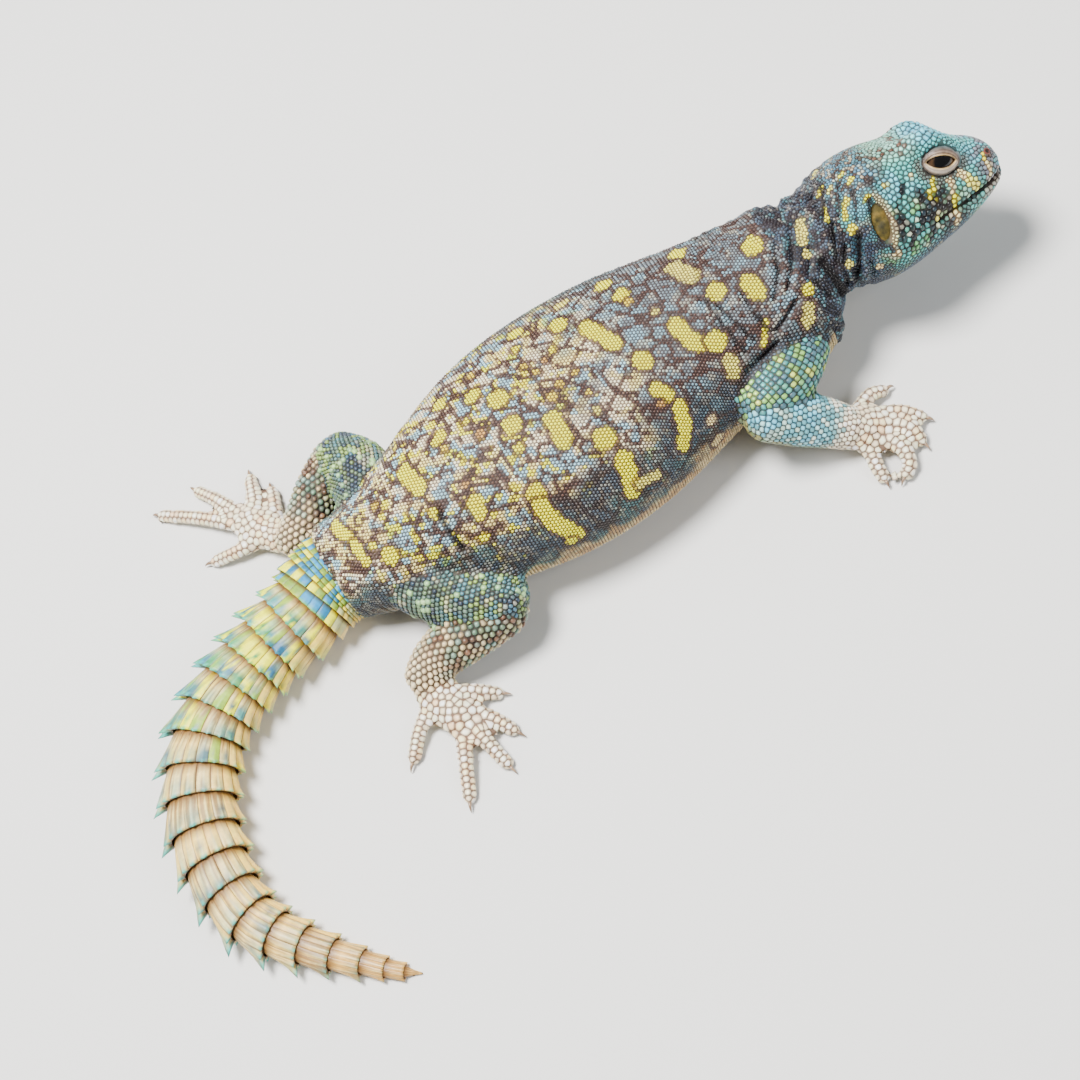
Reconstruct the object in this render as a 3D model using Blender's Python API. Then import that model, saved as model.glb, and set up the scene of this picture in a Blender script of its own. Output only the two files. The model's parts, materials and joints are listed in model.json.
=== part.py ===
"""Ornate uromastyx, still and life size, resting on the floor. Millimetres inside, metres in the scene."""

import math

import bmesh
import bpy
import numpy as np
from mathutils import Euler, Matrix, Vector

for item in list(bpy.data.objects):
    bpy.data.objects.remove(item, do_unlink=True)

# Driving sizes, in millimetres. +X runs to the head, +Y to the animal's left, +Z up.
mm = 0.001
gap = 0.3
centre_x = 9.8
centre_y = 2.8
body_sides = 36
tail_scutes = 15
limb_sides = 14
digit_sides = 7
eye_radius = 4.0
lid_thickness = 0.75
whorl_lip = 0.86
tail_rise = 0.76
foot_sink = 0.6
side_spine = 3.9
inner_spine = 1.8
top_spine = 0.9
hand_thickness = 2.2
hand_claw = 1.6
foot_thickness = 2.2
foot_claw = 2.0
neck_stations = 12
neck_stiffness = 15.0

# Openings and lids in the head's own frame: place of the right side's mirror, half sizes, tilt in degrees nose down.
eye_place = (18.55, 7.1, 6.5)
lid_stretch = (1.12, 1.0, 0.96)
lid_tilt = 18.0
slit = {"place": (18.75, 11.7, 6.6), "half": (3.5, 3.2, 1.9), "tilt": 20.0}
ear = {"place": (0.6, 17.2, 0.6), "half": (1.9, 2.6, 5.0), "tilt": 2.0}
nostril = {"place": (29.4, 5.2, 3.0), "half": (0.8, 1.2, 0.7), "tilt": 0.0}

# Forms of the head: height, then middle and width along x, then middle and width round the head in degrees.
head_forms = [
    (5.1, 17.4, 5.8, 57, 15),
    (-1.6, 17.0, 7.0, 90, 20),
    (-1.5, 19.5, 4.8, 18, 16),
    (-0.8, 24.6, 2.4, 56, 30),
    (1.0, 4.5, 6.0, -22, 26),
    (0.5, 30.0, 2.5, 48, 22),
]
# Mouth line and lips: height, then middle and width round the head, from the corner of the mouth forward.
mouth_corner = (11.5, 14.0)
mouth_forms = [(-0.9, -22, 5.5), (0.4, -5, 9), (0.4, -40, 9)]
# Skin folds of the neck: depth, place along it and width.
neck_folds = [(0.045, 0.6, 0.08), (0.04, 0.84, 0.06), (0.03, 0.34, 0.09)]

# Colour, roughness and metallic of each kind of part.
finishes = {
    "torso": ((0.33, 0.30, 0.22, 1.0), 0.5, 0.0),
    "neck": ((0.14, 0.16, 0.17, 1.0), 0.5, 0.0),
    "head": ((0.30, 0.43, 0.42, 1.0), 0.45, 0.0),
    "tail": ((0.62, 0.52, 0.36, 1.0), 0.5, 0.0),
    "limb": ((0.27, 0.33, 0.28, 1.0), 0.5, 0.0),
    "foot": ((0.60, 0.53, 0.46, 1.0), 0.55, 0.0),
    "eye": ((0.03, 0.02, 0.015, 1.0), 0.12, 0.0),
}

# Stations down the body: x, y, z of the centre, half width, rise, drop, roll in degrees.
trunk_keys = [
    (-46.0, 24.7, 10.5, 13.0, 9.5, 11.5, 0.0),
    (-39.0, 23.0, 12.5, 14.4, 11.0, 13.5, -2.0),
    (-31.0, 20.8, 14.5, 16.2, 13.5, 15.5, -3.0),
    (-21.0, 19.8, 16.0, 19.6, 16.5, 17.0, -2.0),
    (-8.0, 19.0, 17.0, 25.2, 19.0, 18.0, -1.0),
    (8.0, 19.0, 17.5, 29.6, 20.0, 18.5, 0.0),
    (24.0, 19.2, 17.5, 30.4, 19.5, 18.5, 2.0),
    (40.0, 19.6, 17.5, 28.4, 18.5, 18.5, 5.0),
    (54.0, 19.0, 18.0, 24.8, 18.0, 18.6, 8.0),
    (66.0, 17.6, 18.8, 22.0, 17.5, 18.9, 11.0),
    (76.0, 16.6, 20.0, 20.8, 16.0, 18.9, 15.0),
    (84.0, 16.6, 21.5, 19.3, 14.5, 18.0, 21.0),
]
head_centre = Vector((106.0, 16.2, 27.0))
head_turn = (-44.0, -2.0, -12.0)
head_rear = -7.0

# Head stations from the neck to the snout: x, half width, rise, drop.
head_keys = [
    (-7.0, 14.8, 14.6, 14.8),
    (-3.5, 16.4, 15.6, 15.6),
    (0.5, 17.0, 16.0, 15.8),
    (5.0, 16.2, 15.9, 15.2),
    (10.0, 14.2, 15.0, 14.2),
    (15.0, 12.4, 13.6, 12.8),
    (20.0, 11.2, 11.9, 11.2),
    (24.5, 9.8, 9.6, 9.2),
    (28.0, 8.3, 7.4, 7.4),
    (30.4, 6.4, 5.3, 5.8),
    (31.8, 4.1, 3.1, 3.9),
    (32.3, 2.0, 1.3, 2.0),
]

# Whorls of the tail: x and y of the front edge, half width.
whorl_keys = [
    (-46.3, 24.6, 12.2),
    (-51.6, 23.6, 11.8),
    (-56.8, 21.8, 11.4),
    (-62.6, 20.4, 10.8),
    (-69.2, 19.2, 10.3),
    (-75.4, 17.4, 10.2),
    (-81.8, 15.0, 10.1),
    (-88.2, 11.6, 9.9),
    (-93.8, 7.2, 9.6),
    (-98.4, 1.2, 9.4),
    (-102.0, -5.6, 9.1),
    (-104.4, -13.2, 8.8),
    (-105.5, -21.2, 8.3),
    (-105.5, -29.4, 7.6),
    (-104.0, -37.2, 6.8),
    (-100.7, -43.6, 5.9),
    (-96.3, -49.3, 4.9),
    (-91.4, -55.0, 4.0),
    (-86.4, -60.1, 3.1),
    (-82.4, -64.2, 2.4),
    (-79.0, -67.2, 1.7),
    (-76.0, -69.4, 0.7),
]
tail_splits = (0, 4, 8, 12, 16, 21)
tail_root_way = Vector((1.0, -0.03, 0.0))

# Limbs: x, y, z of the middle line, and radius.
upper_arm_r_keys = [(79, 5, 19, 8.0), (72, -1.5, 19.5, 8.0), (66, -5, 20, 7.4), (60, -6.5, 20, 6.2)]
forearm_r_keys = [(60.0, -8.2, 18, 6.9), (66, -11.6, 13.6, 6.9), (71.5, -14.8, 9.4, 6.2), (74.6, -17.0, 6.8, 5.6)]
upper_arm_l_keys = [(78, 27, 18, 8.0), (71, 33, 15.5, 7.6), (64, 36, 12.5, 6.8), (60, 37, 10.5, 6.0)]
forearm_l_keys = [(60.5, 37.5, 9.0, 6.0), (66, 39, 7.6, 5.8), (72, 39.5, 6.4, 5.0), (77, 39.5, 5.4, 4.6)]
thigh_r_keys = [(-31, 14, 14, 9.6), (-27, 5, 14.5, 9.2), (-20, -4, 14.5, 8.4), (-14, -9.5, 14, 7.0)]
shin_r_keys = [(-16, -10, 12.5, 6.8), (-26.6, -9.2, 10.5, 6.9), (-35.6, -9.0, 8.0, 5.9), (-41.5, -10.5, 6.0, 4.8)]
thigh_l_keys = [(-29, 26, 14, 9.6), (-28, 36, 14.5, 9.2), (-28.5, 44, 14.5, 8.4), (-30.5, 50.0, 14, 7.0)]
shin_l_keys = [(-31.5, 50.0, 12.5, 6.8), (-39, 47, 10, 6.8), (-46, 43.4, 8, 6.0), (-52, 41.8, 6, 5.2)]

# Hands and feet: the palm, then each digit from its root to its claw.
hand_r_palm = [(75.6, -17.6, 5.6, 5.4), (78.8, -18.4, 5.0, 6.0), (81.4, -19.6, 4.4, 4.9)]
hand_r_digits = [
    [(79.4, -14.4, 4.4), (84.6, -12.0, 3.8), (88.6, -12.2, 2.2)],
    [(83.2, -17.4, 4.4), (88.2, -20.2, 3.9), (91.6, -23.8, 2.2)],
    [(83.4, -20.6, 4.4), (87.2, -25.0, 4.2), (87.8, -28.8, 2.2)],
    [(80.6, -22.4, 4.2), (82.8, -28.6, 4.2), (82.0, -32.4, 3.0), (80.0, -33.6, 2.0)],
    [(77.0, -21.8, 4.2), (75.8, -27.2, 3.6), (75.4, -31.2, 2.0)],
]
hand_l_palm = [(78, 39.5, 4.8, 4.8), (82, 39.3, 4.2, 5.8), (86, 39.0, 3.8, 5.0)]
hand_l_digits = [
    [(81, 36.4, 4.0), (85, 33.8, 3.4), (88.4, 31.6, 1.8)],
    [(86, 37.2, 4.0), (90.5, 35.2, 3.4), (94.6, 33.4, 1.8)],
    [(87, 39.0, 4.0), (92.4, 38.6, 3.6), (97.6, 37.8, 1.8)],
    [(86, 40.6, 4.0), (91.2, 41.6, 3.4), (96.0, 42.0, 1.8)],
    [(82.5, 41.6, 3.8), (86.0, 43.6, 3.2), (89.6, 44.6, 1.7)],
]
foot_r_palm = [(-41, -12.5, 5.0, 4.8), (-40, -18, 4.2, 5.4), (-38.4, -23.4, 3.8, 5.2)]
foot_r_digits = [
    [(-36.0, -17.5, 4.0), (-32.0, -19.8, 3.2), (-28.2, -22.6, 1.8)],
    [(-35.2, -24.0, 4.0), (-32.2, -28.0, 3.4), (-29.6, -32.8, 1.8)],
    [(-37.2, -26.0, 4.0), (-36.4, -32.0, 3.6), (-35.0, -39.0, 1.8)],
    [(-39.8, -26.0, 4.0), (-43.0, -33.2, 3.6), (-46.8, -41.0, 1.8)],
    [(-42.6, -16.0, 4.0), (-48.4, -19.8, 3.4), (-53.6, -24.8, 1.8)],
]
foot_l_palm = [(-54, 45.5, 4.8, 4.6), (-57, 51, 4.2, 5.2), (-60, 56, 3.8, 5.0)]
foot_l_digits = [
    [(-53.6, 51.0, 4.0), (-52.0, 56.4, 3.2), (-51.0, 61.2, 1.8)],
    [(-56.8, 57.0, 4.0), (-55.4, 62.8, 3.4), (-54.2, 68.2, 1.8)],
    [(-60.4, 58.6, 4.0), (-64.0, 66.4, 3.6), (-68.0, 74.0, 1.8)],
    [(-63.0, 57.4, 4.0), (-70.8, 65.6, 3.6), (-79.4, 73.8, 1.8)],
    [(-60.6, 49.2, 4.0), (-66.4, 50.4, 3.6), (-72.8, 52.6, 1.8)],
]


def smooth(keys, places):
    """Rows of a table of stations, read at fractional places with smooth steps between them."""
    table = np.array(keys, dtype=float)
    last = len(table) - 1
    slope = np.gradient(table, axis=0)
    rows = []
    for place in places:
        low = min(int(place), last - 1)
        t = place - low
        a = 2 * t**3 - 3 * t**2 + 1
        b = t**3 - 2 * t**2 + t
        c = -2 * t**3 + 3 * t**2
        d = t**3 - t**2
        row = a * table[low] + b * slope[low] + c * table[low + 1] + d * slope[low + 1]
        rows.append(row)
    return np.array(rows)


def bump(value, centre, width):
    return math.exp(-(((value - centre) / width) ** 2))


def step(low, high, value):
    t = min(max((value - low) / (high - low), 0.0), 1.0)
    return t * t * (3 - 2 * t)


def rounded(value, power):
    return math.copysign(abs(value) ** power, value)


def frame_along(centre, ahead, roll):
    """A matrix with x along the middle line, z up and the roll taken about x."""
    x = Vector(ahead).normalized()
    y = Vector((0, 0, 1)).cross(x).normalized()
    z = x.cross(y)
    turned = Matrix((x, y, z)).transposed() @ Matrix.Rotation(math.radians(roll), 3, "X")
    return Matrix.Translation(centre) @ turned.to_4x4()


def material_for(name):
    """The part's own surface: its colour, roughness and metallic by the kind of part its name says."""
    kinds = {"hand": "foot", "foot": "foot", "thigh": "limb", "shin": "limb", "upper": "limb", "forearm": "limb"}
    first = name.split("_")[0]
    colour, roughness, metallic = finishes.get(kinds.get(first, first), finishes["torso"])
    made = bpy.data.materials.new(name)
    made.use_nodes = True
    surface = made.node_tree.nodes["Principled BSDF"]
    surface.inputs["Base Color"].default_value = colour
    surface.inputs["Roughness"].default_value = roughness
    surface.inputs["Metallic"].default_value = metallic
    return made


def finish_mesh(mesh, name):
    bmesh.ops.recalc_face_normals(mesh, faces=mesh.faces[:])
    data = bpy.data.meshes.new(name)
    mesh.to_mesh(data)
    mesh.free()
    for polygon in data.polygons:
        polygon.use_smooth = True
    data.materials.append(material_for(name))
    made = bpy.data.objects.new(name, data)
    bpy.context.scene.collection.objects.link(made)
    return made


def loft(name, rings):
    """One closed body through rings of points, all in millimetres."""
    mesh = bmesh.new()
    count = len(rings[0])
    start = bmesh.ops.create_circle(mesh, cap_ends=False, radius=mm, segments=count)
    loop = list(start["verts"])
    shift = Vector((centre_x, centre_y, 0))
    for vertex, point in zip(loop, rings[0]):
        vertex.co = (point - shift) * mm
    edges = [mesh.edges.get((loop[i], loop[(i + 1) % count])) for i in range(count)]
    bmesh.ops.edgeloop_fill(mesh, edges=edges)
    for ring in rings[1:]:
        made = bmesh.ops.extrude_edge_only(mesh, edges=edges)["geom"]
        fresh = {v for v in made if isinstance(v, bmesh.types.BMVert)}
        following = []
        for vertex, point in zip(loop, ring):
            ends = [e.other_vert(vertex) for e in vertex.link_edges]
            found = [v for v in ends if v in fresh][0]
            found.co = (point - shift) * mm
            following.append(found)
        loop = following
        edges = [mesh.edges.get((loop[i], loop[(i + 1) % count])) for i in range(count)]
    bmesh.ops.edgeloop_fill(mesh, edges=edges)
    return finish_mesh(mesh, name)


def as_tool(made):
    made.hide_render = True
    made.display_type = "WIRE"
    return made


def keep_largest(made):
    """Leaves the one closed surface with the most faces in its reach."""
    mesh = bmesh.new()
    mesh.from_mesh(made.data)
    bmesh.ops.remove_doubles(mesh, verts=mesh.verts[:], dist=0.004 * mm)
    bmesh.ops.dissolve_degenerate(mesh, edges=mesh.edges[:], dist=0.004 * mm)
    left = set(mesh.faces)
    groups = []
    while left:
        seed = left.pop()
        group = {seed}
        queue = [seed]
        while queue:
            face = queue.pop()
            for edge in face.edges:
                for other in edge.link_faces:
                    if other in left:
                        left.discard(other)
                        group.add(other)
                        queue.append(other)
        groups.append(group)
    groups.sort(key=lambda group: sum(face.calc_area() for face in group))
    scraps = [face for group in groups[:-1] for face in group]
    bmesh.ops.delete(mesh, geom=scraps, context="FACES")
    mesh.to_mesh(made.data)
    mesh.free()


def boolean(made, operation, others, solver="EXACT"):
    """One Boolean on a collection. The collection's own objects are then removed."""
    group = bpy.data.collections.new("pieces")
    bpy.context.scene.collection.children.link(group)
    for other in others:
        for owner in list(other.users_collection):
            owner.objects.unlink(other)
        group.objects.link(other)
    cut = made.modifiers.new("join", "BOOLEAN")
    cut.operation = operation
    cut.operand_type = "COLLECTION"
    cut.collection = group
    cut.solver = solver
    bpy.context.view_layer.objects.active = made
    bpy.ops.object.modifier_apply(modifier=cut.name)
    for other in others:
        bpy.data.objects.remove(other, do_unlink=True)
    bpy.data.collections.remove(group)
    keep_largest(made)
    for polygon in made.data.polygons:
        polygon.use_smooth = True


def trunk_ring(row, ahead, swell, sides):
    x, y, z, half, rise, drop, roll = row
    frame = frame_along(Vector((x, y, z)), ahead, roll)
    points = []
    for i in range(sides):
        angle = 2 * math.pi * i / sides
        across = (half + swell) * rounded(math.cos(angle), 0.92)
        lift = math.sin(angle)
        up = (rise + swell) * rounded(lift, 0.94) if lift > 0 else (drop + swell) * rounded(lift, 0.8)
        point = frame @ Vector((0, -across, up))
        point.z = max(point.z, -swell)
        points.append(point)
    return points


def trunk_rings(places, swell=0.0, sides=body_sides):
    rows = smooth(trunk_keys, places)
    before = smooth(trunk_keys, [max(place - 0.05, 0) for place in places])
    after = smooth(trunk_keys, [min(place + 0.05, len(trunk_keys) - 1) for place in places])
    rings = []
    for row, low, high in zip(rows, before, after):
        ahead = Vector(high[:3]) - Vector(low[:3])
        ahead.z *= 0.35
        if not rings:
            ahead = tail_root_way
        rings.append(trunk_ring(row, ahead, swell, sides))
    return rings


def head_frame():
    turn = Euler([math.radians(value) for value in head_turn], "XYZ").to_matrix()
    return Matrix.Translation(head_centre) @ turn.to_4x4()


def head_ring(x, half, rise, drop, swell, sides):
    """A ring in the head's own frame, with brow, cheek, lip and mouth line."""
    frame = head_frame()
    points = []
    for i in range(sides):
        angle = 2 * math.pi * i / sides
        turn = math.degrees(math.atan2(math.sin(angle), abs(math.cos(angle))))
        across = (half + swell) * rounded(math.cos(angle), 0.9)
        lift = math.sin(angle)
        up = (rise + swell) * rounded(lift, 0.92) if lift > 0 else (drop + swell) * rounded(lift, 0.86)
        out = 0.0
        for height, middle, length, heading, width in head_forms:
            out += height * bump(x, middle, length) * bump(turn, heading, width)
        for height, heading, width in mouth_forms:
            out += height * step(*mouth_corner, x) * bump(turn, heading, width)
        reach = math.hypot(across, up)
        scale = 1 + out / max(reach, 3.0)
        points.append(frame @ Vector((x, -across * scale, up * scale)))
    return points


def head_rings(places, swell=0.0, sides=44):
    return [head_ring(*row, swell, sides) for row in smooth(head_keys, places)]


def neck_rings(swell=0.0):
    """From the trunk's front plane to the rear plane of the head, with skin folds between."""
    first = trunk_rings([0, len(trunk_keys) - 1], swell)[-1]
    rear = list(head_keys[0])
    rear[0] = head_rear - gap
    last = head_ring(*rear, swell, body_sides)
    row = smooth(trunk_keys, [len(trunk_keys) - 1, len(trunk_keys) - 1.05])
    ahead = Vector(row[0][:3]) - Vector(row[1][:3])
    ahead.z *= 0.35
    ahead.normalize()
    first = [point + ahead * gap for point in first]
    leave = head_frame().to_3x3() @ Vector((1, 0, 0))
    rings = []
    for k in range(neck_stations):
        t = k / (neck_stations - 1)
        a = 2 * t**3 - 3 * t**2 + 1
        b = (t**3 - 2 * t**2 + t) * neck_stiffness
        c = -2 * t**3 + 3 * t**2
        d = (t**3 - t**2) * neck_stiffness
        middle = sum((a * p + c * q for p, q in zip(first, last)), Vector()) / len(first)
        middle += b * ahead + d * leave
        ring = []
        fold = 1.0 - sum(depth * bump(t, place, width) for depth, place, width in neck_folds)
        for i, (p, q) in enumerate(zip(first, last)):
            angle = 2 * math.pi * i / body_sides
            share = 0.35 + 0.65 * step(1.0, 0.2, math.sin(angle))
            point = a * p + c * q + b * ahead + d * leave
            factor = 1.0 - (1.0 - fold) * share
            ring.append(middle + (point - middle) * factor)
        rings.append(ring)
    return rings


def tail_ring(row, ahead, grow, spine, phase):
    """A ring of the tail: grow scales it and spine lifts the scutes' rear points."""
    x, y, half = row
    rise = half * tail_rise
    frame = frame_along(Vector((x, y, rise)), ahead, 0)
    sides = tail_scutes * 3
    points = []
    for i in range(sides):
        angle = 2 * math.pi * (i + phase) / sides + math.pi / 2
        lift = math.sin(angle)
        flank = abs(math.cos(angle))
        peak = 1.0 if i % 3 == 0 else 0.0
        above = step(-0.75, -0.15, lift)
        size = half / 10.0
        side = side_spine if math.cos(angle) < 0 else inner_spine
        sharp = (top_spine + (side - top_spine) * flank**3) * size**0.7
        out = spine * above * (sharp * peak - 0.35 * size * (1 - peak))
        back = spine * above * peak * (0.5 + 0.5 * flank) * sharp * 0.75
        across = half * grow * rounded(math.cos(angle), 0.95)
        up = rise * grow * rounded(lift, 0.95) if lift > 0 else (rise + 0.5) * rounded(lift, 0.85)
        reach = max(math.hypot(across, up), 0.2)
        scale = 1 + out / reach
        point = frame @ Vector((-back, -across * scale, up * scale))
        point.z = max(point.z, 0.0)
        points.append(point)
    return points


def tail_length(name, first, last):
    """A length of the tail from one whorl to another, each whorl with its lip of spined scutes."""
    rings = []
    end = len(whorl_keys) - 1
    for k in range(first, last):
        for part, grow, spine in ((0.0, 0.9, 0.0), (whorl_lip, 1.03, 1.0)):
            place = k + part
            low, row, high = smooth(whorl_keys, [max(place - 0.1, 0), place, min(place + 0.1, end)])
            ahead = Vector((low[0] - high[0], low[1] - high[1], 0))
            if place == 0:
                ahead = tail_root_way
            rings.append(tail_ring(row, ahead, grow, spine, 0.0))
    low, row, high = smooth(whorl_keys, [last - 0.1, last, min(last + 0.1, end)])
    ahead = Vector((low[0] - high[0], low[1] - high[1], 0)).normalized()
    grow = 0.9 if last < end else 0.7
    rings.append(tail_ring(row, ahead, grow, 0.0, 0.0))
    if last < end:
        rings[-1] = [point + ahead * gap for point in rings[-1]]
    return loft(name, rings)


def limb(name, keys, swell=0.0, sides=limb_sides, flat=0.94, steps=7, dull=0.35):
    """A limb length with rounded ends, following its keys of place and radius."""
    places = np.linspace(0, len(keys) - 1, steps)
    rows = smooth(keys, places)
    line = [Vector(row[:3]) for row in rows]
    radii = [row[3] for row in rows]
    start_way = (line[1] - line[0]).normalized()
    end_way = (line[-1] - line[-2]).normalized()
    stations = []
    for part, share in ((0.92, dull), (0.7, 0.7), (0.38, 0.92)):
        stations.append((line[0] - start_way * part * radii[0] * 0.8, radii[0] * share, start_way))
    for k, centre in enumerate(line):
        low = line[max(k - 1, 0)]
        high = line[min(k + 1, len(line) - 1)]
        stations.append((centre, radii[k], (high - low).normalized()))
    for part, share in ((0.38, 0.92), (0.7, 0.7), (0.92, dull)):
        stations.append((line[-1] + end_way * part * radii[-1] * 0.8, radii[-1] * share, end_way))
    rings = []
    for k, (centre, radius, way) in enumerate(stations):
        push = 0.0
        if k == 0:
            push = -swell
        if k == len(stations) - 1:
            push = swell
        frame = frame_along(centre + way * push, way, 0)
        ring = []
        for i in range(sides):
            angle = 2 * math.pi * i / sides
            size = radius + swell
            ring.append(frame @ Vector((0, -size * math.cos(angle), size * flat * math.sin(angle))))
        rings.append(ring)
    return loft(name, rings)


def round_ring(frame, radius, sides):
    ring = []
    for i in range(sides):
        angle = 2 * math.pi * (i + 0.5) / sides
        ring.append(frame @ Vector((0, -radius * math.cos(angle), radius * math.sin(angle))))
    return ring


def digit(name, points, thick, claw_length):
    """A toe with pads at its joints, rounded at its end, and a curved claw rooted in that end."""
    steps = 7
    rows = smooth(points, np.linspace(0, len(points) - 1, steps))
    line = [Vector(row) for row in rows]
    rings = []
    for k, centre in enumerate(line):
        low = line[max(k - 1, 0)]
        high = line[min(k + 1, steps - 1)]
        t = k / (steps - 1)
        radius = thick * (1.0 - 0.2 * t) * (1.0 + 0.1 * math.cos(t * math.pi * 5))
        rings.append(round_ring(frame_along(centre, high - low, 0), radius, digit_sides))
    way = (line[-1] - line[-2]).normalized()
    end = line[-1] + way * thick * 0.42
    rings.append(round_ring(frame_along(end, way, 0), thick * 0.42, digit_sides))
    level = Vector((way.x, way.y, 0)).normalized()
    claw = []
    for part, share, rise in ((-0.5, 0.34, 0.2), (0.35, 0.36, 0.45), (0.8, 0.24, 0.25), (1.15, 0.1, -0.35)):
        centre = line[-1] + level * part * claw_length
        centre.z = line[-1].z + rise * thick * 0.5
        lean = level + Vector((0, 0, -0.6 * max(part, 0)))
        claw.append(round_ring(frame_along(centre, lean, 0), thick * share, 6))
    return [loft(name, rings), loft(name + "_claw", claw)]


def floor_block():
    mesh = bmesh.new()
    bmesh.ops.create_cube(mesh, size=1.0)
    for vertex in mesh.verts:
        vertex.co = Vector((vertex.co.x * 0.5, vertex.co.y * 0.5, vertex.co.z * 0.05 - 0.025))
    return as_tool(finish_mesh(mesh, "floor_block"))


def extremity(name, palm, digits, thick, claw_length, leg_keys):
    """A palm and its five digits, flat underneath, cut to meet the end of its leg."""
    low_palm = [(x, y, z - foot_sink, radius) for x, y, z, radius in palm]
    body = limb(name, low_palm, sides=12, flat=0.72, steps=5)
    toes = []
    for path in digits:
        points = [(x, y, z - foot_sink) for x, y, z in path]
        toes += [as_tool(piece) for piece in digit(name + "_digit", points, thick, claw_length)]
    boolean(body, "UNION", toes)
    cutters = [floor_block(), as_tool(limb("leg_tool", leg_keys, swell=gap))]
    boolean(body, "DIFFERENCE", cutters)
    return body


def trunk_tool():
    """The trunk and neck grown by the gap, to cut what is set against them."""
    places = np.linspace(0, len(trunk_keys) - 1, 28)
    rings = trunk_rings(places, swell=gap)
    rings += neck_rings(swell=gap)[1:]
    return as_tool(loft("trunk_tool", rings))


def ball(name, centre, radius, stretch=(1, 1, 1), detail=(14, 9), tilt=0.0):
    """A ball in the head's frame, stretched along its axes and tilted nose down."""
    mesh = bmesh.new()
    bmesh.ops.create_uvsphere(mesh, u_segments=detail[0], v_segments=detail[1], radius=radius * mm)
    shift = Vector((centre_x, centre_y, 0)) * mm
    frame = head_frame()
    turn = frame.to_3x3() @ Matrix.Rotation(math.radians(tilt), 3, "Y")
    place = frame @ Vector(centre)
    for vertex in mesh.verts:
        local = Vector((vertex.co.x * stretch[0], vertex.co.y * stretch[1], vertex.co.z * stretch[2]))
        vertex.co = turn @ local + place * mm - shift
    return finish_mesh(mesh, name)


# The trunk, with a flat belly on the floor.
trunk_places = np.linspace(0, len(trunk_keys) - 1, 25)
torso = loft("torso", trunk_rings(trunk_places))

neck = loft("neck", neck_rings())

# The tail, in lengths that end between whorls.
tail = []
for number in range(len(tail_splits) - 1):
    tail.append(tail_length("tail_%d" % (number + 1), tail_splits[number], tail_splits[number + 1]))

# The head, with lids, eyes, ears, nostrils and the line of the mouth.
head_places = np.concatenate([np.linspace(0, 8, 17), np.linspace(8.5, 11, 6)])
head = loft("head", head_rings(head_places))
eye_spots = []
for side in (-1, 1):
    eye_spots.append((eye_place[0], side * eye_place[1], eye_place[2]))
lids = []
for spot in eye_spots:
    lids.append(as_tool(ball("lid", spot, eye_radius + gap + lid_thickness, lid_stretch, (16, 10), lid_tilt)))
boolean(head, "UNION", lids)
cutters = []
for spot, side in zip(eye_spots, (-1, 1)):
    cutters.append(as_tool(ball("socket", spot, eye_radius + gap, detail=(14, 9))))
    for label, opening, detail in (("slit", slit, (14, 8)), ("ear", ear, (10, 8)), ("nostril", nostril, (8, 5))):
        x, y, z = opening["place"]
        cutters.append(as_tool(ball(label, (x, side * y, z), 1.0, opening["half"], detail, opening["tilt"])))
boolean(head, "DIFFERENCE", cutters)
for spot, label in zip(eye_spots, ("eye_r", "eye_l")):
    ball(label, spot, eye_radius, detail=(13, 8))

# The legs, each length cut to meet its neighbour.
limb_sets = [
    ("upper_arm_r", upper_arm_r_keys, "forearm_r", forearm_r_keys),
    ("upper_arm_l", upper_arm_l_keys, "forearm_l", forearm_l_keys),
    ("thigh_r", thigh_r_keys, "shin_r", shin_r_keys),
    ("thigh_l", thigh_l_keys, "shin_l", shin_l_keys),
]
for upper_name, upper_keys, lower_name, lower_keys in limb_sets:
    lower = limb(lower_name, lower_keys)
    boolean(lower, "DIFFERENCE", [trunk_tool(), floor_block()])
    upper = limb(upper_name, upper_keys)
    lower_tool = as_tool(limb("lower_tool", lower_keys, swell=gap))
    boolean(upper, "DIFFERENCE", [trunk_tool(), lower_tool, floor_block()])

boolean(tail[0], "DIFFERENCE", [as_tool(limb("leg_tool", shin_l_keys, swell=gap))])
boolean(tail[0], "DIFFERENCE", [as_tool(limb("leg_tool", thigh_l_keys, swell=gap))])

extremity("hand_r", hand_r_palm, hand_r_digits, hand_thickness, hand_claw, forearm_r_keys)
extremity("hand_l", hand_l_palm, hand_l_digits, hand_thickness, hand_claw, forearm_l_keys)
extremity("foot_r", foot_r_palm, foot_r_digits, foot_thickness, foot_claw, shin_r_keys)
extremity("foot_l", foot_l_palm, foot_l_digits, foot_thickness, foot_claw, shin_l_keys)
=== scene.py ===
import itertools
import json
import math

import bmesh
import bpy
import numpy as np
from mathutils import Euler, Matrix, Vector, kdtree
from mathutils.bvhtree import BVHTree

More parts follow.
